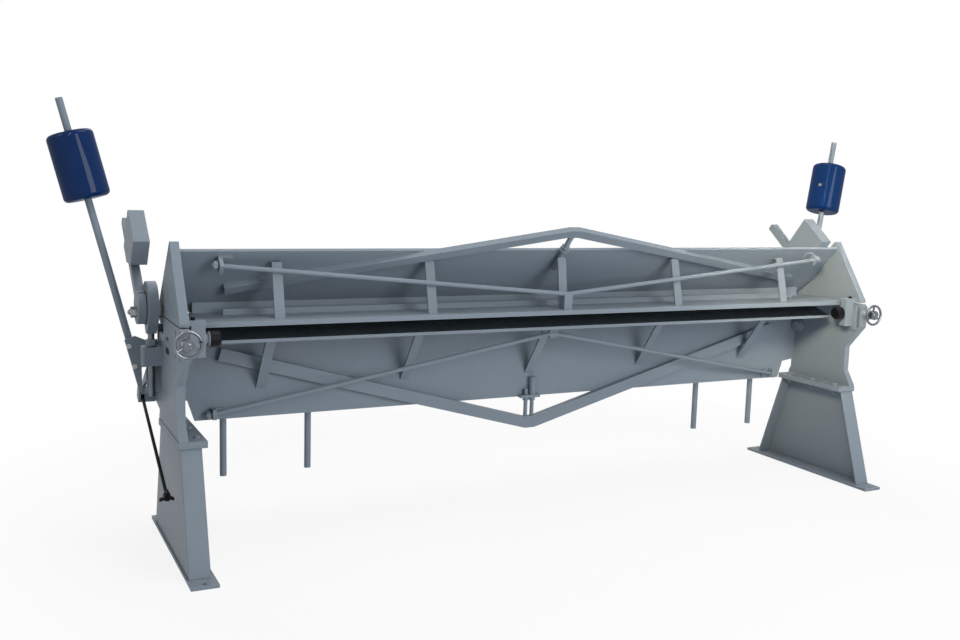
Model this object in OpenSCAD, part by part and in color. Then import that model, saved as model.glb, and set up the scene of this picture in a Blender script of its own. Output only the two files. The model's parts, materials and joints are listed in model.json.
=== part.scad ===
// Hand-operated sheet metal folder with a swinging apron and a clamping leaf.
// +X runs to the right along the bend line, +Y to the operator's side, +Z up.
// The origin lies on the floor, midway between the four anchor holes.

/* [Main sizes] */
// Distance between the inner faces of the two end frames
frame_gap = 3140; // [2400:10:3600]
// Thickness of the end frame plates
frame_t = 30; // [24:1:36]
// Height of the bed's clamping face, where the sheet is bent
bend_h = 856; // [840:1:880]
// Distance of the bend line in front of the anchor holes' centre line
bend_y = 196; // [190:1:205]

/* [Floor stand] */
// Length of a base plate, front to rear
base_len = 820; // [780:10:900]
// Width of a base plate
base_w = 96; // [90:1:110]
// Thickness of a base plate
base_t = 12; // [8:1:16]
// Distance of an anchor hole from the end of its base plate
anchor_edge = 22; // [18:1:30]
// Diameter of an anchor hole
anchor_d = 18; // [12:1:22]
// Sheet thickness of a pedestal
sheet_t = 6; // [4:0.5:10]
// Depth of a pedestal's flanges, across the machine
pedestal_d = 75; // [60:1:85]
// Length of a base plate past its pedestal, at each end
toe_len = 70; // [60:1:80]
// Front to rear length of a pedestal at its top plate
pedestal_top_len = 400; // [380:10:402]
// Height of the bend line above the joint of pedestal and end frame
frame_h = 407; // [396:1:416]
// Length of the two flange plates at that joint
flange_len = 414; // [404:2:430]
// Width of the two flange plates, across the machine
flange_w = 101; // [92:1:110]
// Thickness of each flange plate
flange_t = 12; // [8:1:16]
// Diameter of the bolts in the flange plates
foot_bolt_d = 14; // [10:1:16]
// Front to rear distance between two of those bolts
foot_bolt_pitch = 150; // [120:5:170]

/* [End frames] */
// Rear edge of the frame's waist, behind the anchor centre line
waist_y = 162; // [150:1:175]
// Depth below the bend line at which the waist flares to its foot
waist_low_drop = 322; // [300:1:336]
// Depth below the bend line at which the waist widens to the head
waist_high_drop = 204; // [190:1:222]
// Rear face of the frame's head, behind the anchor centre line
head_y = 253; // [249:1:265]
// Depth below the bend line at which the head's rear face starts
head_low_drop = 97; // [92:1:124]
// Front edge of the frame's head, before the anchor centre line
head_front_y = 95; // [80:1:100]
// Depth below the bend line of the step in front of the head
step_drop = 56; // [46:1:66]
// Gap between the frame's head and the leaf's end plate
head_gap = 6; // [5.5:0.5:8]
// Front edge of the end frames
frame_front_y = 195; // [188:1:196]
// Depth below the bend line of the setback screws and the leaf's pivot pins
pivot_drop = 34; // [30:1:40]
// Distance of the pivot pins behind the anchor centre line
pivot_y = 190; // [186:1:194]
// Depth of the window's lower edge below the pivot pins
window_below = 71; // [56:1:76]
// Height of the window's upper edge above the pivot pins
window_above = 29; // [24:1:33]
// Length of the window, front to rear
window_len = 90; // [86:1:94]
// Diameter of the screw boss behind that wall
boss_d = 37; // [30:1:44]
// Length of the screw boss
boss_len = 36; // [28:1:40]

/* [Bed] */
// Gap between the bed's top plate and an end frame
bed_inset = 80; // [72:1:100]
// Thickness of the bed's plates
bed_t = 12; // [8:1:16]
// Depth of the flat clamping face behind the bend line
land_d = 154; // [130:2:170]
// Distance of the bed's rear edge behind the anchor centre line
bed_rear_y = 122; // [110:1:130]
// Drop of the bed's rear edge below the clamping face
bed_drop = 53; // [40:1:60]
// Depth below the bend line of the front plate's lower edge
bed_low_drop = 412; // [390:1:424]
// Distance of the front plate's lower corner from an end frame
front_low_inset = 98; // [84:1:120]
// Distance of the front plate's step from an end frame
front_step_inset = 71; // [64:1:80]
// Height of that step above the lower edge
front_step = 82; // [60:2:100]

/* [Stiffening] */
// Distance of the inner struts of leaf and bed from the middle
strut_inner_x = 600; // [450:2:640]
// Distance of the outer struts of leaf and bed from an end frame
strut_inset = 355; // [335:5:400]
// Width of a strut
strut_w = 38; // [30:1:46]
// Thickness of a strut
strut_t = 8; // [6:1:10]
// Depth below the bend line at which the bed struts meet the front plate
bed_strut_drop = 288; // [260:1:298]
// Width of the flat bar that the bows are bent from
bow_w = 50; // [40:1:60]
// Thickness of the bows' flat bar
bow_t = 30; // [20:1:34]
// width of the leaf's bow
leaf_bow_w = 38; // [30:1:44]
// thickness of the leaf's bow
leaf_bow_t = 24; // [20:1:28]
// Distance of the bed bow's ends from an end frame
bed_bow_inset = 190; // [175:1:220]
// Depth below the bend line of the bed bow's ends, at the bar's middle
bed_bow_end_drop = 151; // [140:1:164]
// Depth below the bend line of the bed bow's lowest point, at the bar's middle
bed_bow_mid_drop = 525; // [508:1:540]
// Distance of the leaf bow's ends from an end frame
leaf_bow_inset = 185; // [175:1:220]
// Distance up the leaf's slope of the bow's ends
leaf_bow_end = 141; // [125:1:150]
// Distance up the leaf's slope of the bow's apex
leaf_bow_mid = 453; // [440:1:480]
// Diameter of the truss rods
rod_d = 18; // [14:1:20]
// Distance of the bed truss rod's ends from an end frame
bed_rod_inset = 166; // [134:1:160]
// Depth below the bend line of the bed truss rod's ends
bed_rod_end_drop = 384; // [376:1:388]
// Depth below the bend line of the bed truss rod's middle
bed_rod_mid_drop = 96; // [88:1:110]
// Distance of the bed truss rod's middle behind the bend line
bed_rod_mid_y = 218; // [210:1:226]
// Distance of the leaf truss rod's ends from an end frame
leaf_rod_inset = 146; // [116:1:150]
// Distance of the leaf truss rod's ends from the front plate
leaf_rod_out = 34; // [30:1:40]
// Distance up the leaf's slope of the truss rod's ends
leaf_rod_end = 294; // [286:1:300]
// Height of the leaf truss rod's middle above the clamping face
leaf_rod_mid_h = 84; // [76:1:92]
// Distance of the leaf truss rod's middle behind the bend line
leaf_rod_mid_y = 327; // [322:1:334]

/* [Clamping leaf] */
// Depth of the leaf's bottom plate
leaf_d = 352; // [340:1:360]
// Thickness of the leaf's bottom plate
leaf_t = 18; // [14:1:22]
// Thickness of the leaf's front plate
slope_t = 12; // [8:1:14]
// Angle of the front plate above the horizontal
slope_a = 47; // [45:0.5:49]
// Length of the front plate along its slope
slope_len = 335; // [325:1:345]
// Setback of the leaf's nose behind the bend line
nose_back = 3; // [2:0.5:5]
// Distance of the leaf's nose from an end frame, clear of the apron's hinges
nose_inset = 78; // [75:1:90]
// Depth of the leaf's full nose ahead of the apron's hinges
nose_d = 96; // [86:1:104]
// Distance of the bottom plate's rear corner from an end frame
leaf_rear_inset = 45; // [35:1:60]
// Height of the bar behind the nose
nose_bar_h = 40; // [30:1:46]
// Thickness of the bar behind the nose
nose_bar_t = 12; // [8:1:14]
// Height of the low bar across the bottom plate
low_bar_h = 22; // [16:1:30]
// how far the low bar lies behind the nose bar
low_bar_back = 62; // [2:1:80]
// Distance of the low bar's ends from an end frame
low_bar_inset = 175; // [180:5:300]
// Thickness of the leaf's end plates
end_t = 32; // [26:1:36]
// Rear corner of an end plate behind the anchor centre line
end_rear_y = 238; // [232:1:246]
// Height of an end plate above its lower edge
end_h = 281; // [270:1:290]
// Rear corner of an end plate's top behind the anchor centre line
end_top_y = 55; // [48:1:62]
// Radius of the ear round the lever's stud
ear_r = 44; // [38:1:45]
// Gap between the leaf and the bed when clamped, the sheet's room
clamp_gap = 0.2; // [0.1:0.1:1]

/* [Pivot and setback] */
// Diameter of the leaf's pivot pins
pin_d = 20; // [16:1:24]
// Length of a slide block, front to rear
block_len = 66; // [60:1:70]
// Width of a pivot lug, across the machine
lug_w = 48; // [40:1:54]
// Thickness of a pivot lug, front to rear
lug_t = 36; // [32:1:42]
// Diameter of a lock knob
knob_d = 60; // [50:1:66]
// Diameter of a handwheel
wheel_d = 100; // [90:1:110]
// Diameter of a handwheel's rim bar
rim_d = 11; // [9:1:14]
// Diameter of a setback screw
screw_d = 16; // [12:1:18]
// Running clearance of pins, studs and screws, on the radius
run_fit = 0.05; // [0.03:0.01:0.08]

/* [Clamp levers] */
// Distance of the lever's pivot stud behind the bend line
lever_y = 43; // [38:1:48]
// Height of the lever's pivot stud above the clamping face
lever_h = 24; // [20:1:28]
// Diameter of the pivot stud
stud_d = 24; // [20:1:28]
// Throw of the eccentric
throw_e = 25; // [23:1:26]
// Diameter of the eccentric disc
ecc_d = 150; // [140:1:156]
// Radial width of the strap round the eccentric
strap_w = 14; // [10:1:24]
// Width of the strap across the machine
strap_x = 35; // [28:1:36]
// Diameter of the strap's stem
stem_d = 24; // [20:1:24]
// Depth below the bend line of the stem's lower end
stem_low_drop = 296; // [260:2:312]
// Angle of the lever above the horizontal
lever_a = 39; // [36:0.5:41]
// Width of the lever's flat bar
lever_w = 38; // [32:1:42]
// Thickness of the lever's flat bar
lever_t = 32; // [26:1:34]
// Distance of the lever's lower edge above its pivot stud
lever_off = 10; // [8:1:14]
// Reach of the lever's end from the pivot stud, along the bar
lever_reach = 478; // [440:2:500]
// Diameter of the lever's hub
hub_d = 124; // [116:1:128]
// Distance of the lever's weight from the pivot stud, along the bar
lever_weight_at = 130; // [125:1:150]
// Length of the weight on the lever
lever_weight_l = 174; // [150:1:180]
// Height of the weight's top above the pivot stud, across the bar
lever_weight_top = 232; // [215:1:240]
// Height of the weight's rear face
lever_weight_h = 116; // [100:1:124]
// Width of the weight across the machine
lever_weight_w = 59; // [50:1:62]
// Side length of the clamp block, front to rear and across
clamp_block_w = 70; // [69:1:76]
// Height of the clamp block
clamp_block_h = 70; // [60:1:76]
// Diameter of the clamp block's trunnion in the frame
trunnion_d = 36; // [30:1:40]
// Depth of the clamp block's axis below the bend line
clamp_drop = 141; // [136:1:146]

/* [Apron] */
// Height of the apron plate below the bend line
apron_h = 290; // [280:1:290]
// Thickness of the apron plate
apron_t = 12; // [8:1:14]
// Distance of the apron plate's ends past the frames
apron_past = 25; // [20:1:30]
// Gap between the bed's front plate and the apron
apron_gap = 1.3; // [1:0.1:2]
// Diameter of the apron's hinge pins
hinge_d = 24; // [20:1:26]
// Outer radius of the apron's hinge eyes
hinge_r = 24; // [20:1:26]
// Diameter of the apron's handles
handle_d = 27; // [22:1:30]
// Distance of the handles in front of the bend line
handle_y = 53; // [48:1:58]
// Depth below the bend line of the handles' lower ends
handle_drop = 659; // [620:1:670]
// Distance of the outer handles from an end frame
handle_outer_inset = 221; // [200:1:260]
// Distance of the inner handles from an end frame
handle_inner_inset = 569; // [540:1:640]
// Diameter of the counterweight arms
arm_d = 27; // [22:1:30]
// Sideways lean of the counterweight arms
arm_splay = 13.8; // [12.8:0.1:14.8]
// Forward lean of the counterweight arms
arm_lean = 5.8; // [5:0.1:6.4]
// Length of a counterweight arm
arm_len = 1050; // [980:10:1080]
// how far the arms stand outside the end frames, at their foot
arm_past = 69; // [60:1:90]
// how far the arms stand before the apron, at their foot
arm_front = 41; // [36:1:50]
// height of the arms' foot below the bend line
arm_drop = 216; // [200:1:230]
// Diameter of a counterweight
weight_d = 168; // [140:1:180]
// Length of a counterweight
weight_l = 250; // [180:2:260]
// Distance of a counterweight from its arm's upper end
weight_top = 129; // [110:1:200]

/* [Angle stop] */
// Distance of the stop rod from the frame's outer face
stop_x = 50; // [46:1:56]
// Diameter of the stop rod
stop_d = 12; // [10:1:12]
// Distance of the rod's hook in front of the bend line
hook_y = 140; // [138:1:142]
// Distance of the rod's hook below the bend line
hook_drop = 300; // [298:1:302]
// Angle of the stop rod below the horizontal
stop_a = 25; // [24.5:0.1:25.5]
// Distance from the hook to the swivel block
hook_to_swivel = 40; // [39:0.5:42]
// Length of the stop rod from its hook
stop_len = 655; // [650:5:700]
// Side length of the swivel block
swivel_w = 44; // [43:0.5:45]
// Height of the slot in the swivel block, across the rod
swivel_slot = 31; // [30:0.5:32]

/* [Hidden] */
$fn = 64;
HEX = 6;

// Colours as the machine is painted
PAINT = [0.44, 0.49, 0.53];
STEEL = [0.62, 0.63, 0.64];
DARK_STEEL = [0.17, 0.18, 0.20];
CHROME = [0.80, 0.81, 0.83];
BLUE = [0.06, 0.12, 0.38];
BLACK = [0.04, 0.04, 0.05];

// Small steps shared by several pieces
OVER = 1;
SEAT = 0.3;
SIDE_GAP = 2;
BASE_PAST = 3;
CORNER = 12;

// Places across the machine, measured outward from its middle
frame_in = frame_gap / 2;
frame_out = frame_in + frame_t;
end_in = frame_in - SIDE_GAP;
end_out = end_in + end_t;
bed_half = frame_in - bed_inset;
front_low_half = frame_in - front_low_inset;
front_step_half = frame_in - front_step_inset;
strut_outer_x = frame_in - strut_inset;
bed_bow_half = frame_in - bed_bow_inset;
leaf_bow_half = frame_in - leaf_bow_inset;
bed_rod_half = frame_in - bed_rod_inset;
leaf_rod_half = frame_in - leaf_rod_inset;
nose_half = frame_in - nose_inset;
leaf_rear_half = frame_in - leaf_rear_inset;
low_bar_half = frame_in - low_bar_inset;
apron_half = frame_out + apron_past;
handle_outer_x = frame_in - handle_outer_inset;
handle_inner_x = frame_in - handle_inner_inset;

// Lengths of the floor stand, front to rear
anchor_pitch = base_len - 2 * anchor_edge;
pedestal_len = base_len - 2 * toe_len;

// Heights that follow the bend line
joint_h = bend_h - frame_h;
waist_low_h = bend_h - waist_low_drop;
waist_high_h = bend_h - waist_high_drop;
head_low_h = bend_h - head_low_drop;
step_h = bend_h - step_drop;
pivot_h = bend_h - pivot_drop;
window_low_h = pivot_h - window_below;
window_high_h = pivot_h + window_above;
bed_low_h = bend_h - bed_low_drop;
bed_strut_h = bend_h - bed_strut_drop;
bed_bow_end_h = bend_h - bed_bow_end_drop;
bed_bow_mid_h = bend_h - bed_bow_mid_drop;
bed_rod_end_h = bend_h - bed_rod_end_drop;
bed_rod_mid_h = bend_h - bed_rod_mid_drop;
stem_low_h = bend_h - stem_low_drop;
handle_low_h = bend_h - handle_drop;

// Heights of the floor stand and the end frames
pedestal_top_h = joint_h - flange_t;
foot_h = joint_h + flange_t;
leaf_h = bend_h + clamp_gap;
plate_h = leaf_h + leaf_t;
end_low_h = plate_h - SIDE_GAP;
head_h = end_low_h - head_gap;

// The window and its slide block
window_front_y = -pivot_y + window_len / 2;
window_rear_y = -pivot_y - window_len / 2;
screw_x = frame_in + frame_t / 2;
boss_end_y = -head_y - boss_len;

// The leaf's sloping front plate: its front face starts at the nose
nose_y = bend_y - nose_back;
slope_y = nose_y - leaf_t / tan(slope_a) - slope_t / sin(slope_a);
leaf_rear_y = bend_y - leaf_d;

// The lever's pivot and the eccentric's centre above it
stud_y = bend_y - lever_y;
stud_h = bend_h + lever_h;
ecc_h = stud_h + throw_e;
collar_out = end_out + 16;
ecc_in = collar_out + SEAT;
strap_in = ecc_in + 1;
lever_in = strap_in + strap_x + SIDE_GAP;
lever_out = lever_in + lever_t;
strap_mid = strap_in + strap_x / 2;
strap_r = ecc_d / 2 + strap_w;
clamp_axis_h = bend_h - clamp_drop;
clamp_block_top = clamp_axis_h + clamp_block_h / 2;

// The apron hangs in front of the bed's front plate
apron_y = bend_y + apron_gap;
apron_front_y = apron_y + apron_t;
apron_top_h = bend_h - 0.5;
apron_low_h = bend_h - apron_h;
rib_t = 14;
rib_d = handle_y + handle_d;
rib_half = frame_out - 5;
upper_rib_h = apron_low_h + 130;
arm_x = frame_out + arm_past;
arm_y = apron_front_y + arm_front;
arm_h = bend_h - arm_drop;
arm_flat = 3;
arm_seat = arm_d / 2 - arm_flat;
arm_plate_t = 12;
bracket_top = 122;
bracket_low = -76;

// The hinge: a bracket on the frame, an eye on the apron, one pin through both
bracket_out = frame_in - 2 * SIDE_GAP;
bracket_in = bracket_out - 25;
eye_out = bracket_in - SIDE_GAP;
eye_w = 28;
eye_in = eye_out - eye_w;
eye_clear = hinge_r + 4;

// The stop rod runs in a plane outside the left frame
rod_x = -(frame_out + stop_x);
hook = [bend_y + hook_y, bend_h - hook_drop];
stop_dir = [-cos(stop_a), -sin(stop_a)];
swivel = hook + hook_to_swivel * stop_dir;
stop_end = hook + stop_len * stop_dir;
swivel_stud_d = 18;

// Extrudes an outline drawn in the Y-Z plane from x0 to x1
module extrude_x(x0, x1) {
    translate([x0, 0, 0]) rotate([90, 0, 90]) linear_extrude(x1 - x0) children();
}

// Extrudes an outline drawn in the X-Z plane from y0 to y1
module extrude_y(y0, y1) {
    translate([0, y1, 0]) rotate([90, 0, 0]) linear_extrude(y1 - y0) children();
}

// A box between two opposite corners
module box(low, high) {
    translate(low) cube(high - low);
}

// A round bar along X, Y or Z, or between any two points
module round_x(x0, x1, y, z, d) {
    translate([x0, y, z]) rotate([0, 90, 0]) cylinder(h = x1 - x0, d = d);
}

module round_y(x, y0, y1, z, d) {
    translate([x, y0, z]) rotate([-90, 0, 0]) cylinder(h = y1 - y0, d = d);
}

module round_z(x, y, z0, z1, d) {
    translate([x, y, z0]) cylinder(h = z1 - z0, d = d);
}

module rod_between(p, q, d) {
    v = q - p;
    translate(p) rotate([0, acos(v.z / norm(v)), atan2(v.y, v.x)]) cylinder(h = norm(v), d = d);
}

// A hexagon nut or bolt head with flats af apart
module hex(af, h) {
    cylinder(h = h, d = af / cos(180 / HEX), $fn = HEX);
}

module hex_x(x0, x1, y, z, af) {
    translate([x0, y, z]) rotate([0, 90, 0]) hex(af, x1 - x0);
}

module hex_z(x, y, z0, z1, af) {
    translate([x, y, z0]) hex(af, z1 - z0);
}

// Draws the right-hand piece, its mirror image, or both
module left_side() {
    mirror([1, 0, 0]) children();
}

module both_sides() {
    children();
    left_side() children();
}

// Moves to the leaf's slope: Y runs up the slope, Z away from its rear face
module on_slope() {
    translate([0, slope_y, plate_h]) rotate([180 - slope_a, 0, 0]) children();
}

// A point on the slope as a point of the machine
function slope_point(x, up, out) = [
    x,
    slope_y - up * cos(slope_a) - out * sin(slope_a),
    plate_h + up * sin(slope_a) - out * cos(slope_a)
];

// Height of the sloping underside of the bed's top plate at a place y
function bed_under_h(y) = bend_h - bed_t - bed_drop * (bend_y - land_d - y) / (bend_y - land_d + bed_rear_y);

// A point past one end of a line from mid to end
function past_end(end, mid, past) = end + (end - mid) / norm(end - mid) * past;

// Floor stand

base_x = frame_out + BASE_PAST - base_w / 2;

module base_plate() {
    difference() {
        box([base_x - base_w / 2, -base_len / 2, 0], [base_x + base_w / 2, base_len / 2, base_t]);
        for (s = [-1, 1]) {
            round_z(base_x, s * anchor_pitch / 2, -OVER, base_t + OVER, anchor_d);
        }
    }
}

module base_plates() {
    color(PAINT) both_sides() base_plate();
}

// Side view of a pedestal, drawn in by the sheet thickness and run past its ends
module pedestal_outline(inset, past, rise) {
    run = (pedestal_len - pedestal_top_len) / 2 / (pedestal_top_h - base_t);
    low = pedestal_len / 2 - inset + past * run;
    high = pedestal_top_len / 2 - inset - rise * run;
    polygon([[-low, base_t - past], [low, base_t - past],
        [high, pedestal_top_h + rise], [-high, pedestal_top_h + rise]]);
}

// A bent sheet channel, open towards the machine's middle, with a top plate
module pedestal() {
    out = frame_out - BASE_PAST;
    inner = out - pedestal_d;
    difference() {
        extrude_x(inner, out) pedestal_outline(0, 0, OVER);
        extrude_x(inner - OVER, out - sheet_t) pedestal_outline(sheet_t, OVER, 2 * OVER);
    }
    difference() {
        flange_plate(pedestal_top_h, joint_h);
        foot_bolt_holes();
    }
}

module flange_plate(z0, z1) {
    box([frame_out + BASE_PAST - flange_w, -flange_len / 2, z0],
        [frame_out + BASE_PAST, flange_len / 2, z1]);
}

// The bolts stand along the flange plates' inner edges
foot_bolt_x = frame_out + BASE_PAST - flange_w + foot_bolt_d * 2;

module each_foot_bolt() {
    for (i = [-1 : 1]) {
        translate([foot_bolt_x, i * foot_bolt_pitch, 0]) children();
    }
}

module foot_bolt_holes() {
    each_foot_bolt() round_z(0, 0, pedestal_top_h - OVER, foot_h + OVER, foot_bolt_d + 1);
}

module foot_bolt() {
    af = foot_bolt_d * 1.5;
    round_z(0, 0, pedestal_top_h - foot_bolt_d * 1.3, foot_h, foot_bolt_d);
    hex_z(0, 0, foot_h, foot_h + foot_bolt_d * 0.65, af);
    hex_z(0, 0, pedestal_top_h - foot_bolt_d * 0.8, pedestal_top_h, af);
}

module foot_bolts() {
    color(STEEL) both_sides() each_foot_bolt() foot_bolt();
}

module left_pedestal() {
    color(PAINT) left_side() pedestal();
}

module right_pedestal() {
    color(PAINT) pedestal();
}

// End frames

module frame_outline() {
    foot = flange_len / 2;
    polygon([[-foot, joint_h + flange_t / 2], [foot, joint_h + flange_t / 2], [foot, foot_h + CORNER],
        [frame_front_y, foot_h + 3 * CORNER], [frame_front_y, step_h - CORNER],
        [frame_front_y - CORNER, step_h], [head_front_y, step_h], [head_front_y, head_h - CORNER],
        [head_front_y - CORNER, head_h], [-head_y + CORNER, head_h], [-head_y, head_h - CORNER],
        [-head_y, head_low_h], [-waist_y, waist_high_h], [-waist_y, waist_low_h],
        [-foot, foot_h + CORNER / 2]]);
}

module end_frame() {
    difference() {
        union() {
            extrude_x(frame_in, frame_out) frame_outline();
            flange_plate(joint_h, foot_h);
            round_y(screw_x, boss_end_y, -head_y + OVER, pivot_h, boss_d);
        }
        foot_bolt_holes();
        box([frame_in - OVER, window_rear_y, window_low_h], [frame_out + OVER, window_front_y, window_high_h]);
        round_y(screw_x, boss_end_y - OVER, window_rear_y + OVER, pivot_h, screw_d + 2 * run_fit);
        round_x(frame_in - OVER, frame_out + OVER, stud_y, clamp_axis_h, trunnion_d + 2 * run_fit);
    }
}

// The left frame also carries the swivel of the angle stop on a lug at its front
module left_end_frame() {
    color(PAINT) difference() {
        union() {
            left_side() end_frame();
            extrude_x(-frame_out, -frame_in) stop_lug_outline();
        }
        round_x(-frame_out - OVER, -frame_in + OVER, swivel.x, swivel.y, swivel_stud_d + 2 * run_fit);
    }
}

module stop_lug_outline() {
    lug_r = swivel_stud_d * 1.2;
    translate(swivel) circle(r = lug_r);
    polygon([[swivel.x, swivel.y + lug_r], [swivel.x, swivel.y - lug_r],
        [frame_front_y - OVER, foot_h + 3 * CORNER], [frame_front_y - OVER, swivel.y + lug_r]]);
}

module right_end_frame() {
    color(PAINT) end_frame();
}

// Bed

bed_back_y = bend_y - bed_t;

module bed_top_plate() {
    rear_h = bend_h - bed_drop;
    land_y = bend_y - land_d;
    color(DARK_STEEL) extrude_x(-bed_half, bed_half)
        polygon([[bend_y, bend_h], [land_y, bend_h], [-bed_rear_y, rear_h],
            [-bed_rear_y, rear_h - bed_t], [land_y, bend_h - bed_t], [bend_y, bend_h - bed_t]]);
}

// The right-hand edge of the front plate, from its top down
front_edge = [
    [eye_in - 5, bend_h - bed_t],
    [eye_in - 5, bend_h - eye_clear],
    [frame_in, bend_h - eye_clear],
    [frame_in, bed_low_h + front_step + 10],
    [front_step_half, bed_low_h + front_step],
    [front_low_half, bed_low_h]
];

module bed_front_plate() {
    last = len(front_edge) - 1;
    color(PAINT) extrude_y(bed_back_y, bend_y) polygon([
        for (p = front_edge) p,
        for (i = [last : -1 : 0]) [-front_edge[i].x, front_edge[i].y]
    ]);
}

// A flat strut from the bed's underside down to the front plate
module bed_strut_outline(foot_at_h) {
    top_y = bed_rod_top_y + 16;
    run = bed_back_y - top_y;
    rise = bed_under_h(top_y) - foot_at_h;
    thick = strut_t * norm([run, rise]) / rise;
    polygon([[top_y - thick, bed_under_h(top_y - thick)], [top_y, bed_under_h(top_y)],
        [bed_back_y, foot_at_h], [bed_back_y, foot_at_h - thick * rise / run]]);
}

module bed_struts() {
    color(PAINT) for (x = [-strut_outer_x, -strut_inner_x, 0, strut_inner_x, strut_outer_x]) {
        extrude_x(x - strut_w / 2, x + strut_w / 2)
            bed_strut_outline(x == 0 ? jack_pad_h + 120 : bed_strut_h);
    }
}

// A flat bar bent to a shallow V, drawn along its middle line
module bow_outline(half, end_h, mid_h, width) {
    flat = 24;
    lean = atan((mid_h - end_h) / (half - flat));
    up = width / 2 / cos(lean);
    square_x = width / 2 * sin(lean);
    square_h = width / 2 * cos(lean);
    polygon([[-half - square_x, end_h + square_h], [-flat, mid_h + up], [flat, mid_h + up],
        [half + square_x, end_h + square_h], [half - square_x, end_h - square_h], [flat, mid_h - up],
        [-flat, mid_h - up], [-half + square_x, end_h - square_h]]);
}

module bed_bow() {
    color(PAINT) extrude_y(bed_back_y - bow_t, bed_back_y)
        bow_outline(bed_bow_half, bed_bow_end_h, bed_bow_mid_h, bow_w);
}

// The bed's truss rod runs from bracket to bracket over a hanger under the bed
bed_rod_y = bed_back_y - 26;
bed_rod_top_y = bend_y - bed_rod_mid_y;
bracket_size = 40;
bracket_len = 14;
bracket_foot = 45;
bracket_foot_t = 10;
nut_h = rod_d * 0.8;
rod_tail = bracket_len / 2 + nut_h + 10;

function bed_rod_end(s) = [s * bed_rod_half, bed_rod_y, bed_rod_end_h];
function bed_rod_mid() = [0, bed_rod_top_y, bed_rod_mid_h];

// A rod bent at its middle, or the bore for it when wider
module bent_rod(mid, end, tail, d) {
    both_sides() difference() {
        rod_between(past_end(mid, end, 2 * d), past_end(end, mid, tail), d);
        translate([-3 * d, mid.y - 2 * d, mid.z - 2 * d]) cube([3 * d, 4 * d, 4 * d]);
    }
}

module bed_rod_shape(tail, d) {
    bent_rod(bed_rod_mid(), bed_rod_end(1), tail, d);
}

module bed_truss_rod() {
    color(PAINT) bed_rod_shape(rod_tail, rod_d);
}

// A block on the front plate at each end of the rod
module bed_rod_bracket(s) {
    end = bed_rod_end(s);
    foot_x = s * (bed_rod_half - bracket_foot);
    low = end.z - bracket_size / 2;
    high = end.z + bracket_size / 2;
    box([end.x - bracket_len / 2, bed_rod_y - bracket_size / 2, low],
        [end.x + bracket_len / 2, bed_back_y, high]);
    box([min(end.x, foot_x), bed_back_y - bracket_foot_t, low], [max(end.x, foot_x), bed_back_y, high]);
}

// The hanger that carries the rod's middle under the bed
module bed_rod_hanger() {
    y0 = bed_rod_top_y - 6;
    y1 = bed_rod_top_y + 6;
    low = bed_rod_mid_h - rod_d;
    extrude_x(-strut_w / 2, strut_w / 2)
        polygon([[y0, low], [y1, low], [y1, bed_under_h(y1)], [y0, bed_under_h(y0)]]);
}

module bed_rod_brackets() {
    color(PAINT) difference() {
        union() {
            bed_rod_bracket(-1);
            bed_rod_bracket(1);
            bed_rod_hanger();
        }
        bed_rod_shape(2 * rod_tail, rod_d + 2 * run_fit);
    }
}

// A nut on a truss rod, just outside its bracket
module truss_nut(end, mid) {
    v = end - mid;
    at = past_end(end, mid, bracket_len / 2 + 5);
    translate(at) rotate([0, acos(v.z / norm(v)), atan2(v.y, v.x)]) difference() {
        hex(rod_d * 1.6, nut_h);
        translate([0, 0, -OVER]) cylinder(h = nut_h + 2 * OVER, d = rod_d + 2 * run_fit);
    }
}

// The jack that pushes the bed's bow down: a tube and a pad on the front plate
jack_d = 18;
jack_x = 16;
jack_nut_h = 13;
jack_y = bed_back_y - bow_t / 2;
jack_pad_h = bed_low_h - 2;

module bed_truss_nuts() {
    color(STEEL) for (s = [-1, 1]) {
        truss_nut(bed_rod_end(s), bed_rod_mid());
        difference() {
            hex_z(s * jack_x, jack_y, jack_pad_h - jack_nut_h, jack_pad_h, jack_d * 1.55);
            round_z(s * jack_x, jack_y, jack_pad_h - jack_nut_h - OVER, jack_pad_h + OVER, jack_d + 2 * run_fit);
        }
    }
}

module bed_jack() {
    color(PAINT) difference() {
        union() {
            box([-3 * jack_x, jack_y - jack_d, jack_pad_h], [3 * jack_x, bed_back_y, jack_pad_h + 12]);
            round_z(jack_x, jack_y, jack_pad_h + 6, jack_pad_h + 92, bow_t);
        }
        for (s = [-1, 1]) {
            round_z(s * jack_x, jack_y, jack_pad_h - OVER, jack_pad_h + 40, jack_d + 2 * run_fit);
        }
    }
}

module bed_jack_studs() {
    bow_top = bed_bow_mid_h + bow_w / 2 / cos(atan((bed_bow_end_h - bed_bow_mid_h) / (bed_bow_half - 24)));
    color(STEEL) for (s = [-1, 1]) {
        round_z(s * jack_x, jack_y, bow_top, jack_pad_h + 38, jack_d);
    }
}

// Apron hinges

// Side view of a hinge bracket: a foot behind the bed's front plate and an eye
module hinge_bracket_outline() {
    rear = bed_back_y - 74;
    low = bend_h - 96;
    translate([bend_y, bend_h]) circle(r = hinge_r);
    polygon([[bend_y - hinge_r, bend_h], [rear, bend_h - 56], [rear, low], [bed_back_y, low],
        [bed_back_y, bend_h - eye_clear], [bend_y, bend_h - hinge_r], [bend_y, bend_h]]);
}

module apron_hinge_brackets() {
    color(PAINT) both_sides() difference() {
        union() {
            extrude_x(bracket_in, bracket_out) hinge_bracket_outline();
            box([bracket_out - OVER, bed_back_y - 74, bend_h - 96], [frame_in, bed_back_y, bend_h - 58]);
        }
        round_x(bracket_in - OVER, bracket_out + OVER, bend_y, bend_h, hinge_d + 2 * run_fit);
    }
}

module apron_hinge_pins() {
    color(STEEL) both_sides() round_x(eye_in, bracket_out, bend_y, bend_h, hinge_d);
}

// Clamp blocks: swivels on the frames, slotted for the straps' stems

slot_rear = stem_d / 2 + 18.5;
slot_front = stem_d / 2 + 1.5;

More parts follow.
